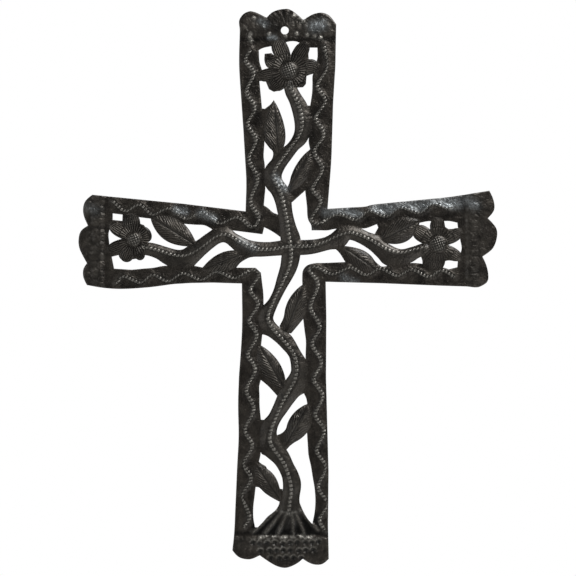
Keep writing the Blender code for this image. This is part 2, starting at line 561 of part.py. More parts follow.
def thinned(points, fixed, gap):
    """Points that keep their distance from the edges and from the points before them."""
    starts, ends = np.vstack(fixed), np.vstack([np.roll(ring, -1, axis=0) for ring in fixed])
    ways = ends - starts
    kept = []
    for index, p in enumerate(points):
        t = np.clip(((p - starts) * ways).sum(axis=1) / (ways**2).sum(axis=1), 0, 1)
        if (((p - starts - t[:, None] * ways) ** 2).sum(axis=1)).min() < (0.75 * gap[index]) ** 2:
            continue
        if kept and (((np.array(kept) - p) ** 2).sum(axis=1)).min() < gap[index] ** 2:
            continue
        kept.append(p)
    return np.array(kept)


def sheet_mesh():
    """The hammered sheet as a height over the cut pattern, with its back parallel to its front."""
    patches = [outer_edge(), np.array(PANEL, float)]
    for stem in (MAIN_STEM, CROSS_STEM):
        patches += stem_quads(stem)
    patches += [leaf_outline(leaf) for leaf in LEAVES]
    patches += [petal_outline(centre, petal) for centre, _, petals in FLOWERS for petal in petals]
    patches += [np.array(web, float) for web in WEBS]
    patches.append(circle(NAIL_HOLE_DIAMETER / 2 / pattern_scale().mean(), EDGE_STEP / 2))
    rings = [split_long(simplified(ring), 2 * FILL_PITCH) for ring in rings_of(patches)]
    corners = np.vstack(rings)

    features = feature_points()
    filling = fill_points(corners.min(axis=0), corners.max(axis=0))
    gaps = [LEAST_GAP] * len(features) + [0.72 * FILL_PITCH] * len(filling)
    inner = thinned(np.vstack([features, filling]), rings, gaps)

    faces, count = [], 0
    for ring in rings:
        faces.append(list(range(count, count + len(ring))))
        count += len(ring)
    points = [Vector(p) for p in np.vstack([corners, inner])]
    found = delaunay_2d_cdt(points, [], faces, 0, 1e-3)
    flat = np.array([tuple(p) for p in found[0]])
    raised = raised_height(flat)
    place = flat * pattern_scale()

    bm = bmesh.new()
    verts = [bm.verts.new((x * MM, -(h + SHEET_THICKNESS) * MM, z * MM)) for (x, z), h in zip(place, raised)]
    middle = np.array([flat[list(t)].mean(axis=0) for t in found[2]])
    for triangle, inside in zip(found[2], in_steel(middle, rings)):
        if inside:
            bm.faces.new([verts[i] for i in triangle])
    bmesh.ops.delete(bm, geom=[v for v in bm.verts if not v.link_faces], context="VERTS")
    front = list(bm.faces)
    bmesh.ops.recalc_face_normals(bm, faces=front)
    back = bmesh.ops.extrude_face_region(bm, geom=front, use_keep_orig=True)["geom"]
    moved = [v for v in back if isinstance(v, bmesh.types.BMVert)]
    bmesh.ops.translate(bm, vec=(0, SHEET_THICKNESS * MM, 0), verts=moved)
    bmesh.ops.recalc_face_normals(bm, faces=list(bm.faces))
    mesh = bpy.data.meshes.new("cross")
    bm.to_mesh(mesh)
    bm.free()
    return mesh


def in_steel(points, rings):
    """Whether each point is inside an odd number of rings."""
    crossings = np.zeros(len(points), int)
    for ring in rings:
        for (ax, az), (bx, bz) in zip(ring, np.roll(ring, -1, axis=0)):
            if az == bz:
                continue
            level = (points[:, 1] > az) != (points[:, 1] > bz)
            at = ax + (points[:, 1] - az) * (bx - ax) / (bz - az)
            crossings += level & (points[:, 0] < at)
    return crossings % 2 == 1


def steel():
    material = bpy.data.materials.new("blackened drum steel")
    material.use_nodes = True
    shader = material.node_tree.nodes["Principled BSDF"]
    shader.inputs["Base Color"].default_value = STEEL_COLOUR
    shader.inputs["Metallic"].default_value = 0.6
    shader.inputs["Roughness"].default_value = 0.5
    return material


def main():
    for old in list(bpy.data.objects):
        bpy.data.objects.remove(old)
    collection = bpy.data.collections.new("hanging cross")
    bpy.context.scene.collection.children.link(collection)
    cross = bpy.data.objects.new("cross", sheet_mesh())
    cross.data.materials.append(steel())
    collection.objects.link(cross)
    print(len(cross.data.vertices), "points,", len(cross.data.polygons), "faces")


main()
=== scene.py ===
# %% [markdown]
# # A hanging cross of drum steel
# The real thing starts as the wall of a used steel drum. It is cut open, burned clean, flattened and
# sawn and chiselled through, then hammered from behind until its stems, leaves and petals stand up.
# Last, every line is chased with a blunt chisel, and the whole sheet is blackened and lacquered.
# This lesson follows that order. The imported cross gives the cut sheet, and we work out the hammered
# and chased surface as one height over it.

import math

import bpy
import numpy as np
from mathutils import Matrix, Vector
from mathutils.geometry import delaunay_2d_cdt


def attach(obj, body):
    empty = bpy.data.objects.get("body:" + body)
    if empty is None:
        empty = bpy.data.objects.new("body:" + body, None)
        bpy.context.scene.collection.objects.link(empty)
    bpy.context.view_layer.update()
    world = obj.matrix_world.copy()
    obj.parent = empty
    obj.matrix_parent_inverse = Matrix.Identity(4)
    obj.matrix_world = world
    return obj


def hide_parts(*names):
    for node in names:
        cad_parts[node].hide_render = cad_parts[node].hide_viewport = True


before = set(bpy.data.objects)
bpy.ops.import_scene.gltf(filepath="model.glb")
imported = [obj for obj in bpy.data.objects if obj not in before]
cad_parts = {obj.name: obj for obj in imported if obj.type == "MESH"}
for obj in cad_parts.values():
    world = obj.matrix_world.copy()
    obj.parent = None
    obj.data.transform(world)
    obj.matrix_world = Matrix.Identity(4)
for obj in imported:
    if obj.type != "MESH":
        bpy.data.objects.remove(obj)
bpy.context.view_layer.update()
MM = 0.001
print("nodes:", sorted(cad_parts))

# %% [markdown]
# ## The camera
# The photograph looks straight at the front. A long lens keeps the flat sheet free of perspective, so
# the cross is drawn in its own plane at one scale: the square picture is as wide as PICTURE_WIDTH.

# %% Camera
PICTURE_WIDTH = 340.0
PICTURE_MIDDLE = (1.9, -152.1)
LENS = 150.0
SENSOR = 36.0


def put(name, data):
    """A new object that holds the data, linked to the scene."""
    made = bpy.data.objects.new(name, data)
    bpy.context.scene.collection.objects.link(made)
    return made


camera_data = bpy.data.cameras.new("camera")
camera_data.lens = LENS
camera_data.sensor_width = SENSOR
camera = put("camera", camera_data)
distance = PICTURE_WIDTH * LENS / SENSOR
camera.location = (PICTURE_MIDDLE[0] * MM, -(distance + 1.8) * MM, PICTURE_MIDDLE[1] * MM)
camera.rotation_euler = (math.radians(90), 0, 0)
bpy.context.scene.camera = camera
print(f"camera {distance:.0f} mm in front of the sheet")

# %% [markdown]
# ## The cut edges
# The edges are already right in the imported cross, so we read them from it instead of drawing them
# again. Its walls are the faces with no Y in their normal. Where a wall meets a face that looks
# forward, there is one side of a cut edge, and the sides join up into rings: the outer edge, the
# windows and the nail hole.

# %% Read the cut edges
WELD = 2e-6


def cut_rings(node):
    """Closed rings in millimetres, x to the right and z up, with the steel on the left of each."""
    mesh = node.data
    mesh.calc_loop_triangles()
    corners = np.empty(len(mesh.vertices) * 3)
    mesh.vertices.foreach_get("co", corners)
    corners = corners.reshape(-1, 3)
    triangles = np.empty(len(mesh.loop_triangles) * 3, int)
    mesh.loop_triangles.foreach_get("vertices", triangles)
    merged, first, same = np.unique(
        np.round(corners / WELD).astype(int), axis=0, return_index=True, return_inverse=True)
    triangles = same.reshape(-1)[triangles].reshape(-1, 3)
    place = corners[first]
    a, b, c = (place[triangles[:, k]] for k in range(3))
    normal = np.cross(b - a, c - a)
    normal /= np.maximum(np.linalg.norm(normal, axis=1), 1e-12)[:, None]
    wall = np.abs(normal[:, 1]) < 0.02
    front = ~wall & (normal[:, 1] < 0)
    sides = np.vstack([triangles[front][:, pair] for pair in ((0, 1), (1, 2), (2, 0))])
    walls = np.vstack([triangles[wall][:, pair] for pair in ((1, 0), (2, 1), (0, 2))])
    size = len(merged)
    sides = sides[np.isin(sides @ (size, 1), walls @ (size, 1))]
    ahead = dict(sides.tolist())
    rings = []
    while ahead:
        start, here = ahead.popitem()
        ring = [start]
        while here != start:
            ring.append(here)
            here = ahead.pop(here)
        rings.append(place[ring][:, [0, 2]] / MM)
    return sorted(rings, key=len, reverse=True)


raw_rings = cut_rings(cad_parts["cross"])
print(len(raw_rings), "rings, the outer one with", len(raw_rings[0]), "sides")

# %% [markdown]
# A chisel cut is a run of smooth curves that meet in corners. So each ring is drawn again as a
# Hermite curve, which bends through its points but keeps every corner sharper than CORNER.

# %% Smooth the rings
RING_STEP = 0.9
CORNER = math.radians(34)


def smooth_ring(ring, step=RING_STEP):
    """Hermite curve through the ring: a side's ends lean to the chord of their neighbours."""
    side = np.roll(ring, -1, axis=0) - ring
    length = np.linalg.norm(side, axis=1)
    way = side / length[:, None]
    before = np.roll(way, 1, axis=0)
    turn = np.arccos(np.clip((way * before).sum(axis=1), -1, 1))
    lean = way * np.roll(length, 1)[:, None] + before * length[:, None]
    lean /= np.linalg.norm(lean, axis=1)[:, None]
    sharp = (turn > CORNER)[:, None]
    leave = np.where(sharp, way, lean)
    arrive = np.roll(np.where(sharp, before, lean), -1, axis=0)
    count = np.maximum(1, np.round(length / step)).astype(int)
    index = np.repeat(np.arange(len(ring)), count)
    t = ((np.arange(len(index)) - np.repeat(np.cumsum(count) - count, count)) / count[index])[:, None]
    start, end = ring[index], np.roll(ring, -1, axis=0)[index]
    pull = length[index][:, None]
    return (start * (2 * t**3 - 3 * t**2 + 1) + leave[index] * pull * (t**3 - 2 * t**2 + t)
            + end * (3 * t**2 - 2 * t**3) + arrive[index] * pull * (t**3 - t**2))


def inset(ring, depth):
    """The ring moved into the steel, which is on its left, along the mean of its sides' normals."""
    ahead = np.roll(ring, -1, axis=0) - ring
    ahead /= np.linalg.norm(ahead, axis=1)[:, None]
    along = ahead + np.roll(ahead, 1, axis=0)
    along /= np.maximum(np.linalg.norm(along, axis=1), 0.3)[:, None]
    return ring + depth * np.column_stack([-along[:, 1], along[:, 0]])


rings = [smooth_ring(ring) for ring in raw_rings]
print(sum(len(ring) for ring in rings), "points on the cut edges")

# %% [markdown]
# ## The drawing
# The smith scribes the design on the sheet before hammering. These rows of numbers are that drawing,
# in millimetres from the nail hole, x to the right and z up. Everything that repeats along them,
# such as the nicks, is worked out from real spacings further on.

# %% Stems, leaves, flowers and waves
# Stem rows: point of the chased line, and how far the stem reaches to its left and to its right on
# the way down, or below and above on the way across.
MAIN_STEM = (
    (2.4, -32, 3.4, 4.2), (4.3, -36, 4.2, 3.7), (6.4, -40.2, 4.3, 4), (8.6, -45.5, 4.7, 5),
    (10, -52, 4.6, 5.4), (9.9, -58, 4.1, 5.8), (7.8, -63, 3.1, 5.7), (4.3, -67.8, 2.6, 4.5),
    (0.5, -73.2, 4.2, 4.3), (-3.2, -78, 4.5, 4.5), (-6.2, -83.5, 6, 4.8), (-6, -88.5, 6.5, 4.5),
    (-3.4, -93.5, 5.5, 5), (-1.6, -98.5, 4.9, 5.6), (-0.4, -104, 4.7, 4.6), (0.9, -110, 4.6, 4.2),
    (1.9, -117, 4.9, 5.2), (2.8, -123.5, 5.3, 6.6), (3.7, -129.5, 5.3, 5.9), (3.8, -134, 5.9, 5.2),
    (2.9, -139.3, 5.6, 4.6), (0.7, -144.5, 4.8, 4.2), (-1.9, -150, 3.8, 3.6), (-4.9, -156, 2.7, 3.4),
    (-7.3, -161.5, 3.5, 3.2), (-9.2, -166.5, 6, 3.1), (-9.8, -170.5, 6, 3), (-8.4, -174.2, 6.5, 3.2),
    (-5, -178.8, 4.1, 4), (-1, -183, 3.8, 5.5), (2.6, -187.2, 3.4, 4.9), (5.4, -191.5, 3.1, 4.5),
    (6.9, -197, 3.4, 6.4), (6.9, -202, 3.4, 6.5), (5.6, -206.8, 4.5, 7.4), (3, -211.8, 5.2, 7.2),
    (0, -217, 4.6, 5.9), (-2.8, -222.6, 4.2, 5), (-5.2, -228.5, 4.6, 3.5), (-7.3, -234, 6.8, 3.1),
    (-8.7, -239.5, 6.5, 4.2), (-8.3, -244, 6.6, 5.4), (-5.6, -248.6, 5.4, 6), (-2.4, -252.8, 4.8, 5.7),
    (0.3, -257.5, 4.6, 5.1), (2, -262.5, 3.9, 6), (3.4, -268, 4.6, 6.3), (3.8, -273, 5.2, 5.4),
    (3, -278, 5.8, 5.9), (2.5, -283, 7.3, 8.6), (2.2, -286, 9, 9),
)
CROSS_STEM = (
    (-84, -128, 4.3, 3.2), (-79, -128.7, 4.6, 3.4), (-74, -130.2, 5, 3.5), (-69, -131.8, 6.6, 3.6),
    (-63, -133.1, 8, 3.6), (-58, -132.7, 8, 4.3), (-53, -130.5, 5.7, 5.2), (-48, -127.3, 4.4, 5),
    (-43.5, -123.8, 4.3, 4.8), (-39.5, -121.2, 4.5, 4.9), (-35, -120.6, 4.6, 5), (-31, -122.2, 5, 3.2),
    (-27.5, -124.6, 5.5, 3.6), (-23, -127, 7, 3.8), (-17.5, -129, 4.8, 4.5), (-12, -129.4, 4.1, 4.5),
    (-6, -129.1, 4, 4.5), (0, -128, 4.8, 4.4), (5, -127.6, 5, 4.2), (11, -127.6, 5, 3.9),
    (17, -127, 4.8, 3.9), (23, -125.2, 5.1, 2.9), (28, -122.7, 6.6, 2.7), (33, -120.7, 7, 4.4),
    (38, -119.4, 4.4, 4), (43, -120.5, 4.3, 4.2), (48, -122.6, 4.7, 3.9), (53, -125.1, 5.3, 4.6),
    (58, -128.1, 6.6, 3.6), (63, -130.4, 9, 3.2), (68.5, -131.2, 8, 2.1), (73.5, -130.3, 6.8, 2.1),
    (78, -129, 5.4, 2.2), (83, -128, 4.8, 2.8),
)
# Leaves: base, tip, width to the right and to the left of the way to the tip, and where along that
# way the leaf is widest.
LEAVES = (
    ((-3.6, -72.5), (-6.6, -41), 5.1, 7.6, 0.38),
    ((1.5, -96), (15.4, -69.8), 6.5, 3.2, 0.52),
    ((0.2, -179), (11.5, -149.5), 6.9, 5.4, 0.52),
    ((0.5, -212.5), (-15.5, -185.2), 5, 7.8, 0.48),
    ((0, -246), (14, -220.3), 7.6, 5.5, 0.54),
    ((-1.5, -279), (-17.5, -256), 5.4, 5.8, 0.56),
    ((-51.5, -127.5), (-79.5, -110), 7.5, 7.1, 0.54),
    ((-24, -131.5), (-50, -142), 5.4, 6.5, 0.44),
    ((56, -124.5), (80, -112.5), 7.2, 7.5, 0.52),
    ((33.5, -127), (55.5, -142.5), 6.4, 5.4, 0.56),
)
# Flowers: centre, radius of the boss, then each petal's direction in degrees, length and half width.
FLOWERS = (
    ((2.5, -23.8), 5.2, ((112, 21, 4.9), (151, 14.6, 4.4), (191, 19, 3.9), (224, 14.6, 5.4),
                         (312, 11.6, 4.2), (11, 18, 4.6), (58, 20, 4.4))),
    ((-89.2, -123.6), 4.2, ((98, 16, 5.1), (25, 11, 4.8), (291, 12.8, 3.3), (245, 14.2, 4.2),
                            (203, 17, 3.8), (147, 17, 3.9))),
    ((90.5, -126.3), 5.2, ((92, 16, 4.3), (29, 16.5, 3.9), (328, 16.5, 3.6), (257, 16, 6.6),
                           (146, 17, 4.9))),
)
# Waves: the first nick, then two rows of turns, each beside a line along one side of an arm: where
# the line starts and ends, how far its first turn swings to the left, and how far along it each turn
# lies. The turns swing to the left and to the right by turns.
WAVES = (
    ((-19.9, -11),
     ((-21.4, -8), (-17.6, -112), -2.3, (10, 17.5, 28.5, 38, 47.5, 57, 68, 80, 93, 103)),
     ((-18.5, -114), (-104, -103), 2.4, (1, 10, 20, 31, 40, 50.5, 60, 68, 76, 84))),
    ((23, -8),
     ((23.1, -6), (18.1, -112), 2.6, (15.5, 27, 35.5, 46, 55.5, 66, 76, 88, 95, 105.5)),
     ((19, -112.2), (104, -103), -2.1, (0.5, 12.5, 23, 31.5, 41, 50, 60.5, 69, 79))),
    ((-24.6, -293.6),
     ((-23.5, -294), (-17.4, -142), -2.4,
      (7, 19, 29.5, 38, 49, 58, 70.5, 81.5, 94, 102.5, 114, 122.5, 132.5, 140.5, 150)),
     ((-18, -143.6), (-104, -147.8), -2.1, (2, 12, 22, 31.5, 42, 51, 60, 67.5, 77, 81.5))),
    ((23.4, -295),
     ((23.4, -296), (16.8, -142), 2.5,
      (7.5, 16.5, 26.5, 38, 48, 59.5, 69, 80, 90, 100, 111, 121, 132.5, 146, 154.5)),
     ((15.5, -141.6), (104, -144), 2, (2.7, 12.7, 23, 32.5, 41, 51, 59.5, 69.5, 77, 85))),
)
print(len(LEAVES), "leaves,", len(FLOWERS), "flowers,", len(WAVES), "waves")

# %% [markdown]
# ## Paths and distances
# A chased line is a Catmull-Rom curve through its points. For every point of the sheet we need two
# things of it: how far along the line it lies, and how far to the left of it. With those two numbers
# a nick, a crest or a groove is a plain formula. The chisel is held at one slant all along an arm, so
# the nicks stand apart where the line crosses that slant and run together where it follows it.

# %% Paths
PATH_STEP = 1.3
UPRIGHT_BAR = math.radians(14)
ARM_BAR = math.radians(54)
ARM_START = 24.0
MOST_LEAN = 1.3


def unit(x):
    """x, held between 0 and 1."""
    return np.clip(x, 0, 1)


def bell(x):
    """Gaussian: e to the power of minus x squared."""
    return np.exp(-(x**2))


def smooth_path(points, step=PATH_STEP):
    """Catmull-Rom curve through the rows of points, sampled about every step millimetres."""
    p = np.asarray(points, float)
    p = np.vstack([2 * p[0] - p[1], p, 2 * p[-1] - p[-2]])
    rows = []
    for a, b, c, d in zip(p, p[1:], p[2:], p[3:]):
        count = max(1, round(math.dist(b[:2], c[:2]) / step))
        t = np.arange(count)[:, None] / count
        rows.append(0.5 * (2 * b + (c - a) * t + (2 * a - 5 * b + 4 * c - d) * t**2
                           + (3 * b - a - 3 * c + d) * t**3))
    return np.vstack([*rows, p[-2]])


def measured(path, bar=UPRIGHT_BAR):
    """The path with two more columns: how far its nicks lean, and the distance walked along it.

    A nick lies along the bar direction b. Beside a path that runs along t with its left along n, it
    leans (b . t) / (b . n) millimetres ahead for each millimetre to the left.
    """
    walked = np.concatenate([[0], np.cumsum(np.hypot(*np.diff(path[:, :2], axis=0).T))])
    t = np.gradient(path[:, :2], axis=0)
    angle = np.where(np.abs(path[:, 0]) > ARM_START, ARM_BAR, bar)
    ahead = np.cos(angle) * t[:, 0] + np.sin(angle) * t[:, 1]
    left = np.cos(angle) * -t[:, 1] + np.sin(angle) * t[:, 0]
    lean = np.clip(ahead / np.copysign(np.maximum(np.abs(left), 1e-3), left), -MOST_LEAN, MOST_LEAN)
    return np.column_stack([path, lean, walked])


def wave_path(wave):
    """Line from the first nick through the turns, each start + way * station +- swing * left."""
    first, *rows = wave
    turns = [first]
    for start, end, swing, stations in rows:
        start, end = np.array(start), np.array(end)
        way = (end - start) / np.linalg.norm(end - start)
        across = np.array([-way[1], way[0]]) * swing
        turns += [start + way * s + across * (-1) ** i for i, s in enumerate(stations)]
    return measured(smooth_path(turns))


def beside(path, points):
    """Signed distance to the left of the path, and the path's own columns at the nearest place."""
    best = np.full(len(points), np.inf)
    offset = np.zeros(len(points))
    columns = np.zeros((len(points), path.shape[1]))
    for a, b in zip(path, path[1:]):
        way = b[:2] - a[:2]
        t = unit((points - a[:2]) @ way / (way @ way))
        gap = points - (a[:2] + t[:, None] * way)
        distance = np.hypot(*gap.T)
        closer = distance < best
        best[closer] = distance[closer]
        offset[closer] = np.copysign(distance, way[0] * gap[:, 1] - way[1] * gap[:, 0])[closer]
        columns[closer] = (a + t[:, None] * (b - a))[closer]
    return offset, columns


def gap_to(start, end, points):
    """Distance to the nearest place of a straight stroke."""
    start, way = np.array(start), np.array(end) - start
    t = unit((points - start) @ way / max(way @ way, 1e-9))
    return np.hypot(*(points - start - t[:, None] * way).T)


waves = [wave_path(wave) for wave in WAVES]
stems = [measured(smooth_path(MAIN_STEM)), measured(smooth_path(CROSS_STEM), ARM_BAR)]
print("chased lines of", [round(path[-1, -1]) for path in (*waves, *stems)], "mm")

# %% [markdown]
# ## Where the surface needs points
# A nick is only two millimetres long, but most of the border is nearly flat. So the points are laid
# where they are needed: in rows across each chased line, in step with its nicks, closer on leaves,
# flowers and ends, and far apart on plain steel. A fine checkerboard keeps a new point out of
# squares that an earlier one has taken.

# %% Nick spacing and point rows
WAVE_NICK_PITCH = 2.05
STEM_NICK_PITCH = 2.4
WAVE_NICK_REACH = 1.15
STEM_NICK_REACH = 1.1
ROWS_PER_NICK = 4
ACROSS_NICK = np.array([-1.8, -1.35, -1.0, -0.6, 0.0, 0.6, 1.0, 1.35, 1.8])
SQUARE = 0.4
BOARD_MARGIN = 3


def rows_across(path, pitch):
    """Points at regular steps along the path, each step a row along its nick."""
    walked = np.arange(0, path[-1, -1], pitch / ROWS_PER_NICK)
    x, z, lean = (np.interp(walked, path[:, -1], path[:, k]) for k in (0, 1, -2))
    way = np.gradient(np.column_stack([x, z]), axis=0)
    way /= np.linalg.norm(way, axis=1)[:, None]
    side = np.column_stack([-way[:, 1], way[:, 0]]) + way * lean[:, None]
    side /= np.hypot(1, lean)[:, None]
    return (np.column_stack([x, z])[:, None] + side[:, None] * ACROSS_NICK[:, None]).reshape(-1, 2)


def lattice(pitch):
    """Staggered grid over the whole cross."""
    low, high = rings[0].min(axis=0), rings[0].max(axis=0)
    x, z = np.meshgrid(np.arange(low[0], high[0], pitch), np.arange(low[1], high[1], pitch * 0.866))
    x[1::2] += pitch / 2
    return np.column_stack([x.ravel(), z.ravel()])


class Board:
    """Squares of the sheet that hold a point or touch one that does. The cut edges come first."""

    def __init__(self, edge_rings):
        low, high = rings[0].min(axis=0), rings[0].max(axis=0)
        self.low = low - BOARD_MARGIN
        size = high - low + 2 * BOARD_MARGIN
        self.taken = np.zeros(np.ceil(size / SQUARE).astype(int), bool)
        for ring in edge_rings:
            self.take(smooth_ring(ring, SQUARE))

    def squares(self, points):
        i, j = ((points - self.low) / SQUARE).astype(int).T
        return np.clip(i, 1, self.taken.shape[0] - 2), np.clip(j, 1, self.taken.shape[1] - 2)

    def free(self, points):
        return points[~self.taken[self.squares(points)]]

    def take(self, points):
        i, j = self.squares(points)
        for di in (-1, 0, 1):
            for dj in (-1, 0, 1):
                self.taken[i + di, j + dj] = True


# %% [markdown]
# ## Leaves and petals
# A leaf's half width is a sine of the way from base to tip, bent so that it is widest where the
# drawing says. A petal widens from its neck to its shoulders and ends round. Both give each point a
# share of the half width, from 0 on the midline to 1 on the edge, for domes of one minus its square.

# %% Leaf and petal coordinates
LEAF_FULLNESS = 0.8
PETAL_NECK = 0.45
PETAL_SHOULDER = 0.62


def leaf_frame(leaf, points):
    """Share of the way to the tip, millimetres to the left of the midrib, share of the half width."""
    base, tip, right, left, belly = leaf
    base, tip = np.array(base), np.array(tip)
    length = np.linalg.norm(tip - base)
    way = (tip - base) / length
    gap = points - base
    t = gap @ way / length
    across = gap @ np.array([-way[1], way[0]])
    half = np.sin(math.pi * unit(t) ** (math.log(0.5) / math.log(belly))) ** LEAF_FULLNESS
    half = np.where(across > 0, left, right) * np.maximum(half, 0.02)
    return t, across, across / half, length


def petal_frame(centre, petal, points):
    """Share of the way to the petal's end, and share of its half width."""
    angle, length, half_width = petal
    way = np.array([math.cos(math.radians(angle)), math.sin(math.radians(angle))])
    gap = points - centre
    t = gap @ way / length
    inside = unit(t)
    rise = PETAL_NECK + (1 - PETAL_NECK) * np.sin(0.5 * math.pi * unit(inside / PETAL_SHOULDER))
    fall = unit((inside - PETAL_SHOULDER) / (1 - PETAL_SHOULDER))
    half = half_width * np.maximum(rise * np.sqrt(1 - fall**2.5), 0.05)
    return t, gap @ np.array([-way[1], way[0]]) / half


# %% [markdown]
# ## The hammered form
# Each tool leaves its own shape: a crest under the wave, a round stem, a domed leaf with a folded
# midrib, petals round a boss, pads at the ends and a fan of ribs at the root. Where two meet, the
# higher one wins, as it does when the steel is pushed up from behind.

# %% Broad relief
BORDER_CREST = 0.7
BORDER_CREST_WIDTH = 6.4
STEM_CREST = 1.6
LEAF_DOME = 1.6
LEAF_MIDRIB_DEPTH = 0.5
LEAF_MIDRIB_WIDTH = 1.4
PETAL_DOME = 1.0
BOSS_HEIGHT = 1.7
END_PAD = 0.8
END_DEPTH = 13.0
END_SLOPE = 3.5
END_TOP, END_BOTTOM, END_LEFT, END_RIGHT = -4.0, -298.0, -106.0, 106.0
ROOT_RIB = 1.1
ROOT_RIB_WIDTH = 0.85
ROOT_TOP = -283.0
ROOT_LINES = (
    ((-4.9, -283.2), (-19.5, -296.5)), ((-1.6, -284.2), (-12, -296.8)), ((1.2, -285), (-4.2, -297)),
    ((4.4, -284.8), (5, -297)), ((6.4, -284.6), (11.5, -296.8)), ((8.9, -283.2), (19.5, -295)),
)


def end_depth(points):
    """How far a point lies beyond the inner edge of an end band."""
    x, z = points.T
    return np.maximum.reduce([z - END_TOP, END_BOTTOM - z, END_LEFT - x, x - END_RIGHT])


def root_ribs(points):
    """Share of the ribs' height: a Gaussian of the distance to the nearest of the root's lines."""
    gap = np.min([gap_to(start, end, points) for start, end in ROOT_LINES], axis=0)
    return bell(gap / ROOT_RIB_WIDTH)


def broad_relief(points):
    """Height in millimetres of the form that is hammered up from behind."""
    height = np.zeros(len(points))
    for path in waves:
        offset, _ = beside(path, points)
        share = unit(2 * np.abs(offset) / BORDER_CREST_WIDTH)
        height = np.maximum(height, BORDER_CREST * (1 - share**2) ** 2)
    for leaf in LEAVES:
        t, across, share, _ = leaf_frame(leaf, points)
        dome = LEAF_DOME * (1 - share**2) * np.sin(math.pi * unit(t)) ** 0.5
        dome -= LEAF_MIDRIB_DEPTH * bell(2 * across / LEAF_MIDRIB_WIDTH)
        height = np.where((np.abs(share) < 1) & (t > 0) & (t < 1), np.maximum(height, dome), height)
    for path in stems:
        offset, columns = beside(path, points)
        reach = np.where(offset > 0, columns[:, 3], columns[:, 2])
        crest = STEM_CREST * (1 - np.minimum(np.abs(offset) / reach, 1) ** 1.4)
        height = np.maximum(height, crest)
    height = np.maximum(height, ROOT_RIB * root_ribs(points))
    rise = unit(end_depth(points) / END_SLOPE)
    fall = unit((END_DEPTH + END_SLOPE - end_depth(points)) / END_DEPTH)
    height = np.maximum(height, END_PAD * rise * (3 - 2 * rise) * rise * fall**0.5)
    for centre, boss, petals in FLOWERS:
        for petal in petals:
            t, share = petal_frame(centre, petal, points)
            swell = np.sin(math.pi * unit(t)) ** 0.6
            dome = PETAL_DOME * unit(1 - share**2) ** 0.7 * swell
            height = np.where((t > 0) & (t < 1), np.maximum(height, dome), height)
        radius = np.hypot(*(points - centre).T)
        ball = BOSS_HEIGHT * np.sqrt(unit(1 - (radius / boss) ** 2))
        height = np.where(radius < boss, np.maximum(ball, 0.35 * PETAL_DOME), height)
    return height


# %% [markdown]
# ## The chasing
# The finer work is cut from the front. Each tool leaves three numbers on every point: a height, how far
# the point is painted bright, part wear and part painted highlight, and how much painted shade it gets in
# its cuts and hollows. We write one function for each tool and join them at the end. The heights add up,
# and of the other two the strongest one counts.
# Smears and smooth noise come first, as the tools use them.

# %% Worn places with painted sheen, and painted shadows
# Each row is a smear: its start, end, radius and amount.
# Painted sheen, partly wear: the steel is painted bare grey where light glints on rubbed places.
WEAR_AND_SHEEN_STROKES = (
    ((24, -107.5), (36, -106.5), 2.4, 0.5), ((36, -106.5), (44, -108.5), 2.2, 0.75),
    ((54, -105.5), (64, -105), 3.2, 0.7), ((64, -104), (74, -103), 3, 0.55),
    ((74, -104), (84, -103.5), 3.4, 0.7), ((84, -102), (94, -101.5), 3.2, 0.55),
    ((94, -102.5), (102, -102), 3.2, 0.85), ((108, -100.5), (112, -103), 3, 0.6),
    ((17, 2.5), (22, 3.5), 3, 0.85), ((-14.5, 5.5), (-11.5, 3.5), 1.8, 0.6),
    ((-26, -124.5), (-18, -129), 2.2, 0.4), ((-5, -87), (0, -93), 2.4, 0.6),
    ((-64, -106), (-59, -107), 2.2, 0.7), ((-50, -108), (-42, -111), 2.2, 0.6),
    ((14, -118), (17, -120), 2.4, 0.6), ((-118, -104), (-112, -106), 3, 0.25),
    ((-9, -4), (-6, -4), 1.4, 0.8), ((35, -146), (42, -149), 2.2, 0.5),
)
# Painted shadows: dark smears beside the nail hole, inside the upright's border, under the wavy lines of
# the arms and along the right band.
SHADOW_STROKES = (
    ((-10, 6), (-4, 1), 3, 0.8), ((-7.5, 8), (-6, 2), 3, 0.6), ((10.5, 5.5), (11.5, 1), 1.6, 0.6),
    ((-16, -50), (-15, -54), 2.6, 0.7), ((16.5, -57), (16.5, -63), 3, 0.7),
    ((-14, -83), (-13, -88), 2.6, 0.6), ((24, -111.5), (100, -109.5), 2.4, 0.5),
    ((-92, -108.5), (-40, -114.5), 2.4, 0.5), ((104.5, -98), (104, -106), 1.2, 0.7),
)


def patches(points, smears):
    """A Gaussian about each smear, amount * bell(distance / radius), and the strongest counts."""
    smear_amount = np.zeros(len(points))
    for start, end, radius, amount in smears:
        smear_amount = np.maximum(smear_amount, amount * bell(gap_to(start, end, points) / radius))
    return smear_amount


# %% Hammer marks
HAMMER_PITCHES = (6.5, 3.1)
HAMMER_DEPTHS = (0.14, 0.1)


def value_noise(points, pitch, seed):
    """Smooth random height from -1 to 1: random numbers on a grid, blended by smoothstep."""
    rng = np.random.default_rng(seed)
    table = rng.uniform(-1, 1, (512, 512))
    place = points / pitch + 200
    cell = np.floor(place).astype(int)
    t = place - cell
    t = t * t * (3 - 2 * t)
    i, j = cell.T
    low = table[i, j] * (1 - t[:, 0]) + table[i + 1, j] * t[:, 0]
    high = table[i, j + 1] * (1 - t[:, 0]) + table[i + 1, j + 1] * t[:, 0]
    return low * (1 - t[:, 1]) + high * t[:, 1]


def hammer_marks(points):
    """Smooth random dents of two sizes: value noise at each pitch, times its depth."""
    return sum(depth * value_noise(points, pitch, seed)
               for seed, (pitch, depth) in enumerate(zip(HAMMER_PITCHES, HAMMER_DEPTHS)))


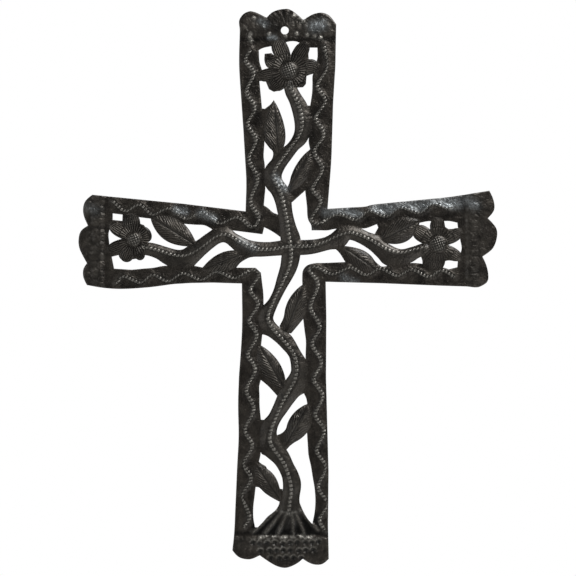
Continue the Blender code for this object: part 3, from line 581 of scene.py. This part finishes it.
# %% [markdown]
# A nick is one blow of a chisel across the line. A row of them is a string of bars, parted by grooves, in
# a shallow margin. The bars are painted bright, part wear and part painted highlight, and the grooves and
# the margin get painted shade. The blows are shorter on the arms, and flatter where the steel is worn.

# %% Nicks
NICK_RISE = 0.28
NICK_CUT = 0.4
NICK_MARGIN_CUT = 0.16
MARGIN_PLACE = 1.35
MARGIN_WIDTH = 0.3
ARM_REACH = 0.7
NICK_WEAR = 0.75


def nick_row(path, pitch, reach, points):
    """How far inside the row a point is, its bar (a squared cosine along the line), and the margins."""
    offset, columns = beside(path, points)
    lean, walked = columns[:, -2:].T
    reach = reach * np.where(np.abs(points[:, 0]) > ARM_START, ARM_REACH, 1)
    share = np.abs(offset) * np.hypot(1, lean) / reach
    inside = (walked > 0.2) & (walked < path[-1, -1] - 0.2)
    row = unit(1.25 * (1 - share**3)) * inside
    margin = bell((share - MARGIN_PLACE) / MARGIN_WIDTH) * inside
    return row, np.cos(math.pi * (walked - lean * offset) / pitch) ** 2, margin


def nicks(points, smear_amount):
    """Bars that stand up by NICK_RISE between grooves NICK_CUT deep, on every chased line."""
    height, wear_and_highlight, cut = np.zeros((3, len(points)))
    rows = [(path, WAVE_NICK_PITCH, WAVE_NICK_REACH) for path in waves]
    rows += [(path, STEM_NICK_PITCH, STEM_NICK_REACH) for path in stems]
    for path, pitch, reach in rows:
        row, bar, margin = nick_row(path, pitch, reach, points)
        row = row * (1 - NICK_WEAR * smear_amount)
        height += row * (NICK_RISE * bar - NICK_CUT * (1 - bar)) - NICK_MARGIN_CUT * margin
        # Painted brightness on the bars, painted shade in the grooves and margins.
        wear_and_highlight = np.maximum(wear_and_highlight, row * bar)
        cut = np.maximum(cut, np.maximum(row * (1 - bar), 0.7 * margin))
    return height, wear_and_highlight, cut


print("about", round(sum(path[-1, -1] for path in waves) / WAVE_NICK_PITCH), "nicks on the border")

# %% [markdown]
# The ends are beaten with a small round hammer, in staggered rows of lumps. They are clearest on the
# left arm and almost flat on the upright, and the nail hole has a plain collar.

# %% Lumps of the ends
LUMP_PITCH = 3.5
LUMP_ROWS = 4.9
LUMP_STRETCH = 1.45
LUMP_RADIUS = 2.1
LUMP_HEIGHT = 0.8
LUMP_DRIFT = 0.2
UPRIGHT_LUMPS, LEFT_LUMPS, RIGHT_LUMPS = 0.35, 0.55, 0.4
HOLE_COLLAR = 3.5


def end_lumps():
    """Centre and share of painted brightness, part wear and part highlight, of each lump: staggered rows
    that follow the end bands.
    """
    rng = np.random.default_rng(7)
    rows = []
    for count, depth in enumerate(np.arange(1.4, END_DEPTH + 2, LUMP_ROWS)):
        along = np.arange(-36, 36, LUMP_PITCH) + count % 2 * LUMP_PITCH / 2
        flat_row = np.full(len(along), depth)
        rows += [(along, END_TOP + flat_row), (along, END_BOTTOM - flat_row),
                 (END_LEFT - flat_row, along - 125), (END_RIGHT + flat_row, along - 125)]
    centres = np.vstack([np.column_stack(row) for row in rows])
    centres += rng.normal(0, LUMP_DRIFT * LUMP_PITCH, centres.shape)
    return centres, rng.uniform(0.0, 0.3, len(centres))


def lumps(points):
    """Domes round the nearest centre: one minus the squared distance over LUMP_RADIUS squared."""
    centres, lump_brightness = end_lumps()
    x, z = points.T
    gap = np.full(len(points), np.inf)
    wear_and_highlight = np.zeros(len(points))
    upright = (z > END_TOP) | (z < END_BOTTOM)
    squeeze = np.where(upright[:, None], (1, 1 / LUMP_STRETCH), (1 / LUMP_STRETCH, 1))
    for centre, amount in zip(centres, lump_brightness):
        distance = np.hypot(*((points - centre) * squeeze).T)
        nearer = distance < gap
        gap[nearer], wear_and_highlight[nearer] = distance[nearer], amount
    deep = end_depth(points)
    inside = unit(deep / 0.8) * unit((END_DEPTH - 1 - deep) / 4)
    inside *= unit((np.hypot(x, z) - HOLE_COLLAR) / 2)
    inside *= np.where(np.abs(x) < 40, UPRIGHT_LUMPS, np.where(x < 0, LEFT_LUMPS, RIGHT_LUMPS))
    dome = np.clip(1 - (gap / LUMP_RADIUS) ** 2, -0.3, 1)
    # The dome tops are painted bright, part wear and part painted highlight, and the gaps between the
    # domes get painted shade.
    wear_and_highlight = inside * wear_and_highlight * unit(2.2 * dome - 1.1)
    return inside * LUMP_HEIGHT * (dome - 0.55), wear_and_highlight, inside * unit(1 - 1.6 * dome)


print(len(end_lumps()[0]), "lumps laid out, those on the ends are struck")

# %% [markdown]
# The foot is punched with three rows of round pits. Their upper rims get a painted highlight, as does a
# broken ridge above them, where the band meets the root, and the pits get painted shade.

# %% Pits and ridge of the foot
# Each row of pits: its height on the sheet and half its length.
PIT_ROWS = ((-302.6, 20), (-307.2, 17), (-311.6, 9))
PIT_PITCH = 4.4
PIT_RADIUS = 1.5
PIT_DEPTH = 0.95
PIT_RIM = 2.0
RIM_HEIGHT = 0.55
RIM_WIDTH = 0.4
FOOT_RIDGE = -299.3
RIDGE_HEIGHT = 0.4
RIDGE_WIDTH = 1.05
RIDGE_WANDER = 0.7
RIDGE_MIDDLE, RIDGE_HALF = 1.5, 17


def foot_pits(points):
    """Punched pits of the foot: a Gaussian round each centre, and a painted highlight on the upper half
    of its rim.
    """
    rng = np.random.default_rng(17)
    pit, rim = np.zeros((2, len(points)))
    for count, (level, half_row) in enumerate(PIT_ROWS):
        for x in np.arange(-half_row, half_row + 1, PIT_PITCH) + 1 + count % 2 * PIT_PITCH / 2:
            gap = points - (x, level) - rng.normal(0, 0.3, 2)
            radius = np.hypot(*gap.T)
            pit = np.maximum(pit, bell(radius / PIT_RADIUS))
            lit = unit(gap[:, 1] / np.maximum(radius, 0.1))
            ring = bell((radius - PIT_RIM) / RIM_WIDTH)
            rim = np.maximum(rim, rng.uniform(0.3, 1) * lit * ring)
    return pit, rim


def foot(points):
    """The pits, and a Gaussian ridge whose level wanders and whose painted highlight is broken by noise.
    """
    pit, rim = foot_pits(points)
    gap = points[:, 1] - FOOT_RIDGE - RIDGE_WANDER * value_noise(points, 3.0, 24)
    ridge = bell(gap / RIDGE_WIDTH) * (np.abs(points[:, 0] - RIDGE_MIDDLE) < RIDGE_HALF)
    broken = unit(0.5 + 0.9 * value_noise(points, 1.3, 23))
    height = RIM_HEIGHT * rim - PIT_DEPTH * pit + RIDGE_HEIGHT * ridge
    return height, np.maximum(1.7 * ridge * broken, 1.1 * rim), unit(1.6 * pit)


# %% [markdown]
# The middle lobe of the top is fluted like a shell, with painted shade in the troughs, and a round-nosed
# punch has left dots in a row beside the nail hole and here and there above it, each with a painted
# highlight and a ring of painted shade.

# %% Flutes and dots of the top
FLUTE_PITCH = 2.9
FLUTE_DEPTH = 0.26
PUNCHES = (
    (7, -1.9), (13.2, -2.6), (17.6, -3.2), (21.2, -4.3), (-9.3, -2.2), (-20.2, -2), (-20, -6.2),
    (-18.4, 7.2), (-20.8, -3.6), (5.2, 8.4), (8.6, 7.2), (10.8, 5.4), (0.5, -3.2),
)
PUNCH_RADIUS = 1.0
DOT_RISE = 0.45
DOT_RING = 1.7
DOT_RING_CUT = 0.2


def flutes(points):
    """Folds that fan out over the top lobe: a cosine across it, wider apart toward the edge."""
    x, z = points.T
    deep = end_depth(points)
    lobe = unit(2.6 - np.abs(x - 1) / 5) * (np.abs(x) < 30) * (z > END_TOP)
    flute = unit((deep - END_DEPTH + 6) / 3) * lobe
    fold = np.cos(2 * math.pi * (x - 1) * 6 / (FLUTE_PITCH * np.maximum(deep - 6, 4)))
    return flute * FLUTE_DEPTH * 0.5 * (fold - 1), np.zeros(len(points)), flute * 0.4 * (1 - fold)


def dots(points):
    """A Gaussian dot at each punch, with a shallow ring round it at DOT_RING radii."""
    height, wear_and_highlight, cut = np.zeros((3, len(points)))
    for centre in PUNCHES:
        radius = np.hypot(*(points - centre).T) / PUNCH_RADIUS
        dot = bell(radius)
        ring = bell((radius - DOT_RING) * 2)
        height += DOT_RISE * dot - DOT_RING_CUT * ring
        # Painted highlight on the dot, painted shade in its ring.
        wear_and_highlight = np.maximum(wear_and_highlight, 1.4 * dot)
        cut = np.maximum(cut, 0.6 * ring)
    return height, wear_and_highlight, cut


# %% [markdown]
# Each boss is chequered by two crossing rows of cuts, painted bright on the checks, part wear and part
# painted highlight, and painted shade in the cuts. The left one is painted the brightest.

# %% Checks of the bosses
BOSS_PUNCH_PITCH = 1.5
BOSS_PUNCH_DEPTH = 0.42
BOSS_SHINE = 0.5
LEFT_BOSS_SHINE = 0.9


def boss_checks(points):
    """Squared product of two cosines that run nearly across each other, inside each boss."""
    height, wear_and_highlight, cut = np.zeros((3, len(points)))
    for centre, boss, _ in FLOWERS:
        gap = points - centre
        shine = LEFT_BOSS_SHINE if centre[0] < -ARM_START else BOSS_SHINE
        inside = unit((boss - 0.5 - np.hypot(*gap.T)) / 0.8)
        check = np.cos(math.pi * (gap[:, 0] + 0.4 * gap[:, 1]) / BOSS_PUNCH_PITCH)
        check = (check * np.cos(math.pi * (gap[:, 1] - 0.3 * gap[:, 0]) / BOSS_PUNCH_PITCH)) ** 2
        height += inside * BOSS_PUNCH_DEPTH * (check - 0.6)
        wear_and_highlight = np.maximum(wear_and_highlight, inside * check * shine)
        cut = np.maximum(cut, inside * (1 - check) * 0.85)
    return height, wear_and_highlight, cut


# %% [markdown]
# Painted shade lies in the hollows: along the inner edges of the ends, between the ribs of the root and
# in the folds of the leaves. The ribs' crests and heads are painted bright, part wear and part painted
# highlight.

# %% Dark folds and bright ribs
END_LINE = 1.2
END_LINE_WIDTH = 1.6
UPRIGHT_END_SHADE, ARM_END_SHADE = 0.75, 0.25
RIB_SHINE = 0.4
RIB_HEAD = 0.9
FOLD_WIDTH = 0.55
FOLD_SHADE = 0.8


def folds(points):
    """Gaussians along the ends' edges and the midribs, and one minus the ribs' height at the root."""
    x, z = points.T
    # Painted shade along the inner edges of the ends, stronger on the upright.
    end_shade = np.where(np.abs(x) < 32, UPRIGHT_END_SHADE, ARM_END_SHADE)
    cut = end_shade * bell((end_depth(points) + END_LINE) / END_LINE_WIDTH)
    rib = root_ribs(points)
    root = unit((ROOT_TOP - z) / 3) * (z > END_BOTTOM) * (np.abs(x - 1) < 20)
    heads = patches(points, [(start, start, RIB_HEAD, 0.9) for start, _ in ROOT_LINES])
    wear_and_highlight = np.maximum(RIB_SHINE * root * unit(2 * rib - 1), heads)
    cut = np.maximum(cut, root * unit(1 - 1.3 * rib))
    for leaf in LEAVES:
        t, across, share, _ = leaf_frame(leaf, points)
        fold = bell(across / FOLD_WIDTH) * (np.abs(share) < 1)
        cut = np.maximum(cut, FOLD_SHADE * fold * unit(8 * t * (1 - t)))
    return np.zeros(len(points)), wear_and_highlight, cut


# %% Join the tools
def fine_relief(points, smear_amount):
    """The hammer marks plus the sum of the tools' heights, and the largest of their other numbers."""
    tools = (nicks(points, smear_amount), lumps(points), foot(points), flutes(points), dots(points),
             boss_checks(points), folds(points))
    heights, wear_and_highlight, cut = (np.array(numbers) for numbers in zip(*tools))
    return hammer_marks(points) + heights.sum(axis=0), wear_and_highlight.max(axis=0), cut.max(axis=0)


# %% [markdown]
# Leaf veins and petal strokes are finer than the mesh, so they are handed on as two more numbers: a
# phase that grows by one from stroke to stroke, and a strength. The material cuts the strokes from
# them. Veins lean away from the midrib and waver, petal strokes run along each petal, and short rays
# stand round each boss. The right flower is worn, so its strokes are faint.

# %% Veins and petal strokes
VEIN_PITCH = 2.35
VEIN_SLANT = 1.6
VEIN_WANDER = 0.5
RIGHT_VEINS = 0.6
PETAL_STROKES = 1.2
RAYS = 34
RAY_LENGTH = 5.0
FAINT_FLOWER = 0.55


def strokes(points):
    """Phase and strength of the leaf veins and petal strokes."""
    phase, strength = np.zeros((2, len(points)))
    for leaf in LEAVES:
        t, across, share, length = leaf_frame(leaf, points)
        inside = unit(4 * (1 - np.abs(share))) * unit(8 * t) * unit(8 * (1 - t))
        inside *= unit(np.abs(across) - 0.5)
        vein = (t * length - np.abs(across) * VEIN_SLANT) / VEIN_PITCH
        vein += VEIN_WANDER * value_noise(points, 2.6, 5)
        inside *= (0.65 + 0.35 * value_noise(points, 2.4, 6)) * np.where(across > 0, 1.0, RIGHT_VEINS)
        phase = np.where(inside > strength, vein, phase)
        strength = np.maximum(strength, inside)
    for centre, boss, petals in FLOWERS:
        gap = points - centre
        radius = np.hypot(*gap.T)
        clear = FAINT_FLOWER if centre[0] > ARM_START else 1.0
        for petal in petals:
            t, share = petal_frame(centre, petal, points)
            inside = unit(4 * (1 - np.abs(share))) * unit(10 * (1 - t))
            inside *= unit(radius - boss) * (t > 0) * clear
            phase = np.where(inside > strength, share * petal[2] / PETAL_STROKES, phase)
            strength = np.maximum(strength, inside)
        ring = (radius > boss + 0.2) & (radius < boss + RAY_LENGTH)
        turn = np.arctan2(gap[:, 1], gap[:, 0]) / (2 * math.pi)
        phase = np.where(ring, turn * RAYS, phase)
        strength = np.where(ring, clear, strength)
    return phase, strength


# %% [markdown]
# ## The mesh
# All the points go into one Delaunay triangulation that keeps the cut edges as sides, so the surface
# fits them exactly. The front, the back and a wall between them share their points, and the wall
# turns over each edge in a narrow bevel, because a cut edge is never quite sharp.

# %% Build the sheet
SHEET_THICKNESS = 1.2
EDGE_BEVEL = 0.22
BOSS_PITCH = 0.4
FINE_PITCH = 0.56
END_PITCH = 0.62
PLAIN_PITCH = 1.0
BACK_PITCH = 1.9
FLOWER_REACH = 17
ALL_TRIANGLES = 0


def in_steel(points, edge_rings):
    """True where a line to the right of the point crosses the edges an odd number of times."""
    a = np.vstack(edge_rings)
    b = np.vstack([np.roll(ring, -1, axis=0) for ring in edge_rings])
    order = np.argsort(points[:, 1])
    low, high = (np.searchsorted(points[order, 1], end(a[:, 1], b[:, 1]))
                 for end in (np.minimum, np.maximum))
    count = high - low
    side = np.repeat(np.arange(len(a)), count)
    place = np.arange(count.sum()) - np.repeat(np.cumsum(count) - count, count) + np.repeat(low, count)
    point = order[place]
    share = (points[point, 1] - a[side, 1]) / (b[side, 1] - a[side, 1])
    hit = points[point, 0] < a[side, 0] + share * (b[side, 0] - a[side, 0])
    return np.bincount(point[hit], minlength=len(points)) % 2 == 1


def surface_points(edge_rings):
    """Points of the front inside the edges, closest together where the relief is finest."""
    board = Board(edge_rings)
    kept = []
    close = lattice(BOSS_PITCH)
    for centre, boss, _ in FLOWERS:
        disc = board.free(close[np.hypot(*(close - centre).T) < boss])
        board.take(disc)
        kept.append(disc)
    for path, pitch in [(p, STEM_NICK_PITCH) for p in stems] + [(p, WAVE_NICK_PITCH) for p in waves]:
        row = board.free(rows_across(path, pitch))
        board.take(row)
        kept.append(row)
    fine = board.free(lattice(FINE_PITCH))
    busy = np.zeros(len(fine), bool)
    for leaf in LEAVES:
        t, _, share, _ = leaf_frame(leaf, fine)
        busy |= (np.abs(share) < 1.15) & (t > 0) & (t < 1)
    for centre, _, _ in FLOWERS:
        busy |= np.hypot(*(fine - centre).T) < FLOWER_REACH
    fine = fine[busy]
    ends = board.free(lattice(END_PITCH))
    ends = ends[end_depth(ends) > -0.5]
    board.take(fine)
    board.take(ends)
    found = np.vstack([*kept, fine, ends, board.free(lattice(PLAIN_PITCH))])
    return found[in_steel(found, edge_rings)]


def triangulated(edge_rings, inner):
    """Points and triangles of the steel between the edge rings. The rings' points come first."""
    points = np.vstack([*edge_rings, inner])
    sides, count = [], 0
    for ring in edge_rings:
        index = np.arange(count, count + len(ring))
        sides.append(np.column_stack([index, np.roll(index, -1)]))
        count += len(ring)
    found = delaunay_2d_cdt([Vector(p) for p in points.tolist()], np.vstack(sides).tolist(), [],
                            ALL_TRIANGLES, 1e-6, False)
    points, triangles = np.array([tuple(p) for p in found[0]]), np.array(found[2])
    triangles = triangles[in_steel(points[triangles].mean(axis=1), edge_rings)]
    used = np.union1d(np.arange(count), triangles)
    renumber = np.full(len(points), -1)
    renumber[used] = np.arange(len(used))
    return points[used], renumber[triangles], np.vstack(sides)


front_rings = [inset(ring, EDGE_BEVEL) for ring in rings]
flat, front_faces, sides = triangulated(front_rings, surface_points(front_rings))
edge_count = len(sides)
print(len(flat), "points and", len(front_faces), "triangles on the front")

# %% [markdown]
# Now the sheet is raised. On the right arm the wear and painted sheen stop at the wavy line and lie only
# above it, so they fade out by the distance to that line.

# %% Raise it
WEAR_AND_SHEEN_LOW = -112.0

broad = broad_relief(flat)
# The smears of painted sheen and wear.
smear_amount = patches(flat, WEAR_AND_SHEEN_STROKES)
above_wave = np.clip(beside(waves[1], flat)[0] / 0.8 + 0.6, 0.1, 1)
smear_amount *= np.where((flat[:, 0] > ARM_START) & (flat[:, 1] > WEAR_AND_SHEEN_LOW), above_wave, 1)
fine, wear_and_highlight, cut = fine_relief(flat, smear_amount)
# Painted shadows join the painted shade, except where the steel is painted bright.
cut = np.maximum(cut, patches(flat, SHADOW_STROKES) * (1 - wear_and_highlight) * (1 - smear_amount))
phase, strength = strokes(flat)
front = np.column_stack([flat[:, 0], -(broad + fine + SHEET_THICKNESS), flat[:, 1]])

plain = Board(front_rings).free(lattice(BACK_PITCH))
back_flat, back_faces, _ = triangulated(front_rings, plain[in_steel(plain, front_rings)])
back = np.column_stack([back_flat[:, 0], -broad_relief(back_flat), back_flat[:, 1]])

outline = np.vstack(rings)
low_edge = np.column_stack([outline[:, 0], front[:edge_count, 1] + EDGE_BEVEL, outline[:, 1]])
high_edge = np.column_stack([outline[:, 0], back[:edge_count, 1] - EDGE_BEVEL, outline[:, 1]])
print(f"front up to {-front[:, 1].min():.2f} mm off the wall, back at {-back[:, 1].max():.2f} mm or more")

# %% [markdown]
# The wall is three bands of four-sided faces: over the front's bevel, across the thickness and over
# the back's bevel. Each row of its points has one for every point of the rings.

# %% Join front, walls and back
offset_low = len(front)
offset_high = offset_low + edge_count
offset_back = offset_high + edge_count
points = np.vstack([front, low_edge, high_edge, back]) * MM


def wall_band(upper, lower):
    """Faces between two rows of ring points, facing away from the steel."""
    a, b = sides.T
    return np.column_stack([b + upper, a + upper, a + lower, b + lower])


walls = np.vstack([wall_band(0, offset_low), wall_band(offset_low, offset_high),
                   wall_band(offset_high, offset_back)])
faces = front_faces.tolist() + walls.tolist() + (back_faces[:, ::-1] + offset_back).tolist()
mesh = bpy.data.meshes.new("hammered_cross")
mesh.from_pydata(points, [], faces)
mesh.validate()
mesh.shade_smooth()
sheet = put("hammered_cross", mesh)


def paint(name, values, walls=0.0, back=0.0):
    """A number for every point: values on the front, one for the walls and one for the back."""
    layer = mesh.attributes.new(name, "FLOAT", "POINT")
    full = np.concatenate([values, np.full(2 * edge_count, walls), np.full(len(back_flat), back)])
    layer.data.foreach_set("value", full.astype(np.float32))


# How high the broad relief stands: the material paints the crests a little lighter with it, a painted
# highlight, and flattens the bumps there.
crest = unit(broad / STEM_CREST)
# Numbers for the material: painted brightness for wear and highlight, painted shade that is fixed on the
# walls and faint on the back, the smears of sheen and wear, and the crests.
paint("wear_and_highlight", wear_and_highlight)
paint("cut", cut, walls=0.7, back=0.1)
paint("smear_amount", smear_amount)
paint("crest", crest)
paint("phase", phase)
paint("strength", strength)
print(len(points), "points,", len(front_faces) + 2 * len(walls) + len(back_faces), "triangles")

# %% [markdown]
# ## Blackened drum steel
# Drum steel is mild steel sheet. Burning and hammering leave a dark scale, and a coat of clear lacquer
# makes it brown-black with a soft shine. Its colour has painted shade in the cuts and hollows, and is
# painted lighter on the crests, partly for the wear of hands and cloths and partly as painted highlight;
# the crests are also smoother. The lacquer pools a little, so its gloss is uneven.

# %% Colours and nodes
def linear(code):
    """sRGB hex to linear: each channel to the power 2.4 above a short straight toe."""
    channel = np.array([int(code[i:i + 2], 16) for i in (1, 3, 5)]) / 255
    toe, curve = channel / 12.92, ((channel + 0.055) / 1.055) ** 2.4
    return (*np.where(channel <= 0.04045, toe, curve).tolist(), 1.0)


def add(tree, kind, links=(), **settings):
    """A shader node of one kind, with its settings, and its inputs linked or set by name or number.

    A node given as an input is linked by the first of its outputs that is in use.
    """
    node = tree.nodes.new("ShaderNode" + kind)
    for name, value in settings.items():
        setattr(node, name, value)
    for name, value in dict(links).items():
        if isinstance(value, bpy.types.Node):
            value = next(output for output in value.outputs if output.enabled)
        if isinstance(value, bpy.types.NodeSocket):
            tree.links.new(value, node.inputs[name])
        else:
            node.inputs[name].default_value = value
    return node


SCALE_BROWN = linear("#262320")
# Painted shade of the cuts, hollows and vein furrows.
SHADE_BLACK = linear("#0a0908")
# Painted grey of worn crests and painted highlights.
WEAR_AND_HIGHLIGHT_GREY = linear("#a5a29b")
LACQUER_AMBER = linear("#3b3732")
# Painted sheen of bare, rubbed steel.
BARE_STEEL_AND_SHEEN = linear("#9ba1a4")
# How many lie in a metre: clouds of the lacquer 8 mm wide, specks of bare steel 1.2 mm wide and small
# dents 2.6 mm wide. Real specks are half as wide, and are drawn coarser so that they show.
CLOUDS = 130.0
SPECKS = 850.0
DENTS = 380.0


def drum_steel():
    """Blackened, lacquered mild steel: painted shade in the cuts, painted grey for wear and highlight,
    hammered all over.
    """
    material = bpy.data.materials.new("blackened_drum_steel")
    material.use_nodes = True
    tree = material.node_tree
    shader = tree.nodes["Principled BSDF"]
    place = add(tree, "TexCoord").outputs["Object"]
    value = {name: add(tree, "Attribute", attribute_name=name).outputs["Fac"]
             for name in ("wear_and_highlight", "cut", "crest", "phase", "strength", "smear_amount")}

    blotch, speck, dent = (
        add(tree, "TexNoise", {"Vector": place, "Scale": scale, "Detail": detail, "Roughness": uneven})
        for scale, detail, uneven in ((CLOUDS, 5.0, 0.65), (SPECKS, 3.0, 0.6), (DENTS, 2.0, 0.5)))

    # Vein and petal strokes: their troughs get painted shade, their ridges a little painted highlight.
    wave = add(tree, "Math", {0: value["phase"], 1: 2 * math.pi}, operation="MULTIPLY")
    ripple = add(tree, "Math", {0: wave}, operation="COSINE")
    stroke = add(tree, "Math", {0: ripple, 1: value["strength"]}, operation="MULTIPLY")
    furrow = add(tree, "Math", {0: stroke, 1: -0.75}, operation="MULTIPLY", use_clamp=True)
    # Painted shade: the darker of the stroke troughs and the shade number.
    deep = add(tree, "Math", {0: furrow, 1: value["cut"]}, operation="MAXIMUM")

    mottle = add(tree, "MapRange", {"Value": blotch, "From Min": 0.35, "From Max": 0.65})
    brown = add(tree, "Mix", {0: mottle, 6: SCALE_BROWN, 7: LACQUER_AMBER}, data_type="RGBA")
    dark = add(tree, "Mix", {0: deep, 6: brown, 7: SHADE_BLACK}, data_type="RGBA")
    patch = add(tree, "MapRange", {"Value": speck, "From Min": 0.4, "From Max": 0.6})
    # Painted brightness, part wear and part highlight, broken up by specks.
    bar = add(tree, "Math", {0: value["wear_and_highlight"], 1: 0.8}, operation="MULTIPLY")
    speckled = add(tree, "Math", {0: patch, 1: 0.55, 2: 0.3}, operation="MULTIPLY_ADD")
    bright = add(tree, "Math", {0: bar, 1: speckled}, operation="MULTIPLY")
    # Painted sheen of the smears, broken up by specks.
    sheen_and_bare = add(tree, "Math", {0: value["smear_amount"], 1: speckled}, operation="MULTIPLY")
    # Painted highlight: crests and stroke ridges a little lighter.
    high = add(tree, "Math", {0: value["crest"], 1: 0.06}, operation="MULTIPLY")
    ridge_highlight = add(tree, "Math", {0: stroke, 1: 0.06, 2: high}, operation="MULTIPLY_ADD")
    light = add(tree, "Math", {0: bright, 1: ridge_highlight}, operation="ADD", use_clamp=True)
    grey = add(tree, "Mix", {0: light, 6: dark, 7: WEAR_AND_HIGHLIGHT_GREY}, data_type="RGBA")
    colour = add(tree, "Mix", {0: sheen_and_bare, 6: grey, 7: BARE_STEEL_AND_SHEEN}, data_type="RGBA")
    tree.links.new(colour.outputs[2], shader.inputs["Base Color"])

    dull = add(tree, "MapRange", {"Value": blotch, "From Min": 0.3, "From Max": 0.7,
                                  "To Min": 0.32, "To Max": 0.5})
    tree.links.new(dull.outputs[0], shader.inputs["Roughness"])
    shader.inputs["Metallic"].default_value = 0.85
    shader.inputs["Coat Weight"].default_value = 0.15
    shader.inputs["Coat Roughness"].default_value = 0.25

    flat = add(tree, "MapRange", {"Value": value["crest"], "To Min": 1.0, "To Max": 0.4})
    beaten = add(tree, "Bump", {"Height": dent, "Distance": 0.0006, "Strength": flat})
    rough = add(tree, "Bump", {"Height": speck, "Distance": 0.00032, "Strength": flat, "Normal": beaten})
    cuts = add(tree, "Bump", {"Height": stroke, "Distance": 0.00016, "Strength": 1.0, "Normal": rough})
    tree.links.new(cuts.outputs[0], shader.inputs["Normal"])
    return material


mesh.materials.append(drum_steel())
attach(sheet, "root")
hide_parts("cross")
print("finish:", mesh.materials[0].name)

# %% [markdown]
# ## Floor and light
# A cross this light is photographed hanging, well above a pale floor. The light is a large soft lamp
# from the upper right, two weaker ones from the left and from below on the right, one behind for the
# back, and a bright plain surround that shows white behind the cut windows.

# %% Floor and light
FLOOR_DROP = 0.95
FLOOR_SIZE = 3.0

floor_mesh = bpy.data.meshes.new("floor")
half = FLOOR_SIZE / 2
floor_mesh.from_pydata([(-half, -half, 0), (half, -half, 0), (half, half, 0), (-half, half, 0)], [],
                       [(0, 1, 2, 3)])
floor_mesh.transform(Matrix.Translation((0, 0, -FLOOR_DROP)))
floor = put("floor", floor_mesh)
pale = bpy.data.materials.new("pale_painted_floor")
pale.use_nodes = True
tree = pale.node_tree
grain = add(tree, "TexNoise", {"Scale": 6.0, "Detail": 3.0})
tint = add(tree, "Mix", {0: grain, 6: linear("#e9e7e3"), 7: linear("#f2f1ee")}, data_type="RGBA")
coat = tree.nodes["Principled BSDF"]
tree.links.new(tint.outputs[2], coat.inputs["Base Color"])
coat.inputs["Roughness"].default_value = 0.7
floor_mesh.materials.append(pale)


def soft_lamp(name, place, aim, size, watts):
    """A square area light at a place, turned to face a point."""
    data = bpy.data.lights.new(name, "AREA")
    data.size = size
    data.energy = watts
    lamp = put(name, data)
    lamp.location = place
    lamp.rotation_euler = (Vector(aim) - Vector(place)).to_track_quat("-Z", "Y").to_euler()


MIDDLE = (0.0, 0.0, -0.15)
soft_lamp("key", (0.55, -0.7, 0.75), MIDDLE, 0.4, 17)
soft_lamp("fill", (-0.9, -0.9, -0.1), MIDDLE, 0.7, 3)
soft_lamp("low", (0.6, -0.8, -0.8), MIDDLE, 0.6, 3)
soft_lamp("rear", (-0.4, 0.8, 0.9), MIDDLE, 0.6, 20)

world = bpy.data.worlds.new("studio")
bpy.context.scene.world = world
world.use_nodes = True
tree = world.node_tree
tree.nodes.clear()
seen = add(tree, "LightPath").outputs["Is Camera Ray"]
glow = add(tree, "Background", {"Color": linear("#ffffff"), "Strength": 0.09})
white = add(tree, "Background", {"Color": linear("#ffffff"), "Strength": 1.0})
mixed = add(tree, "MixShader", {0: seen, 1: glow, 2: white})
add(tree, "OutputWorld", {"Surface": mixed})
bpy.context.scene.view_settings.view_transform = "Standard"
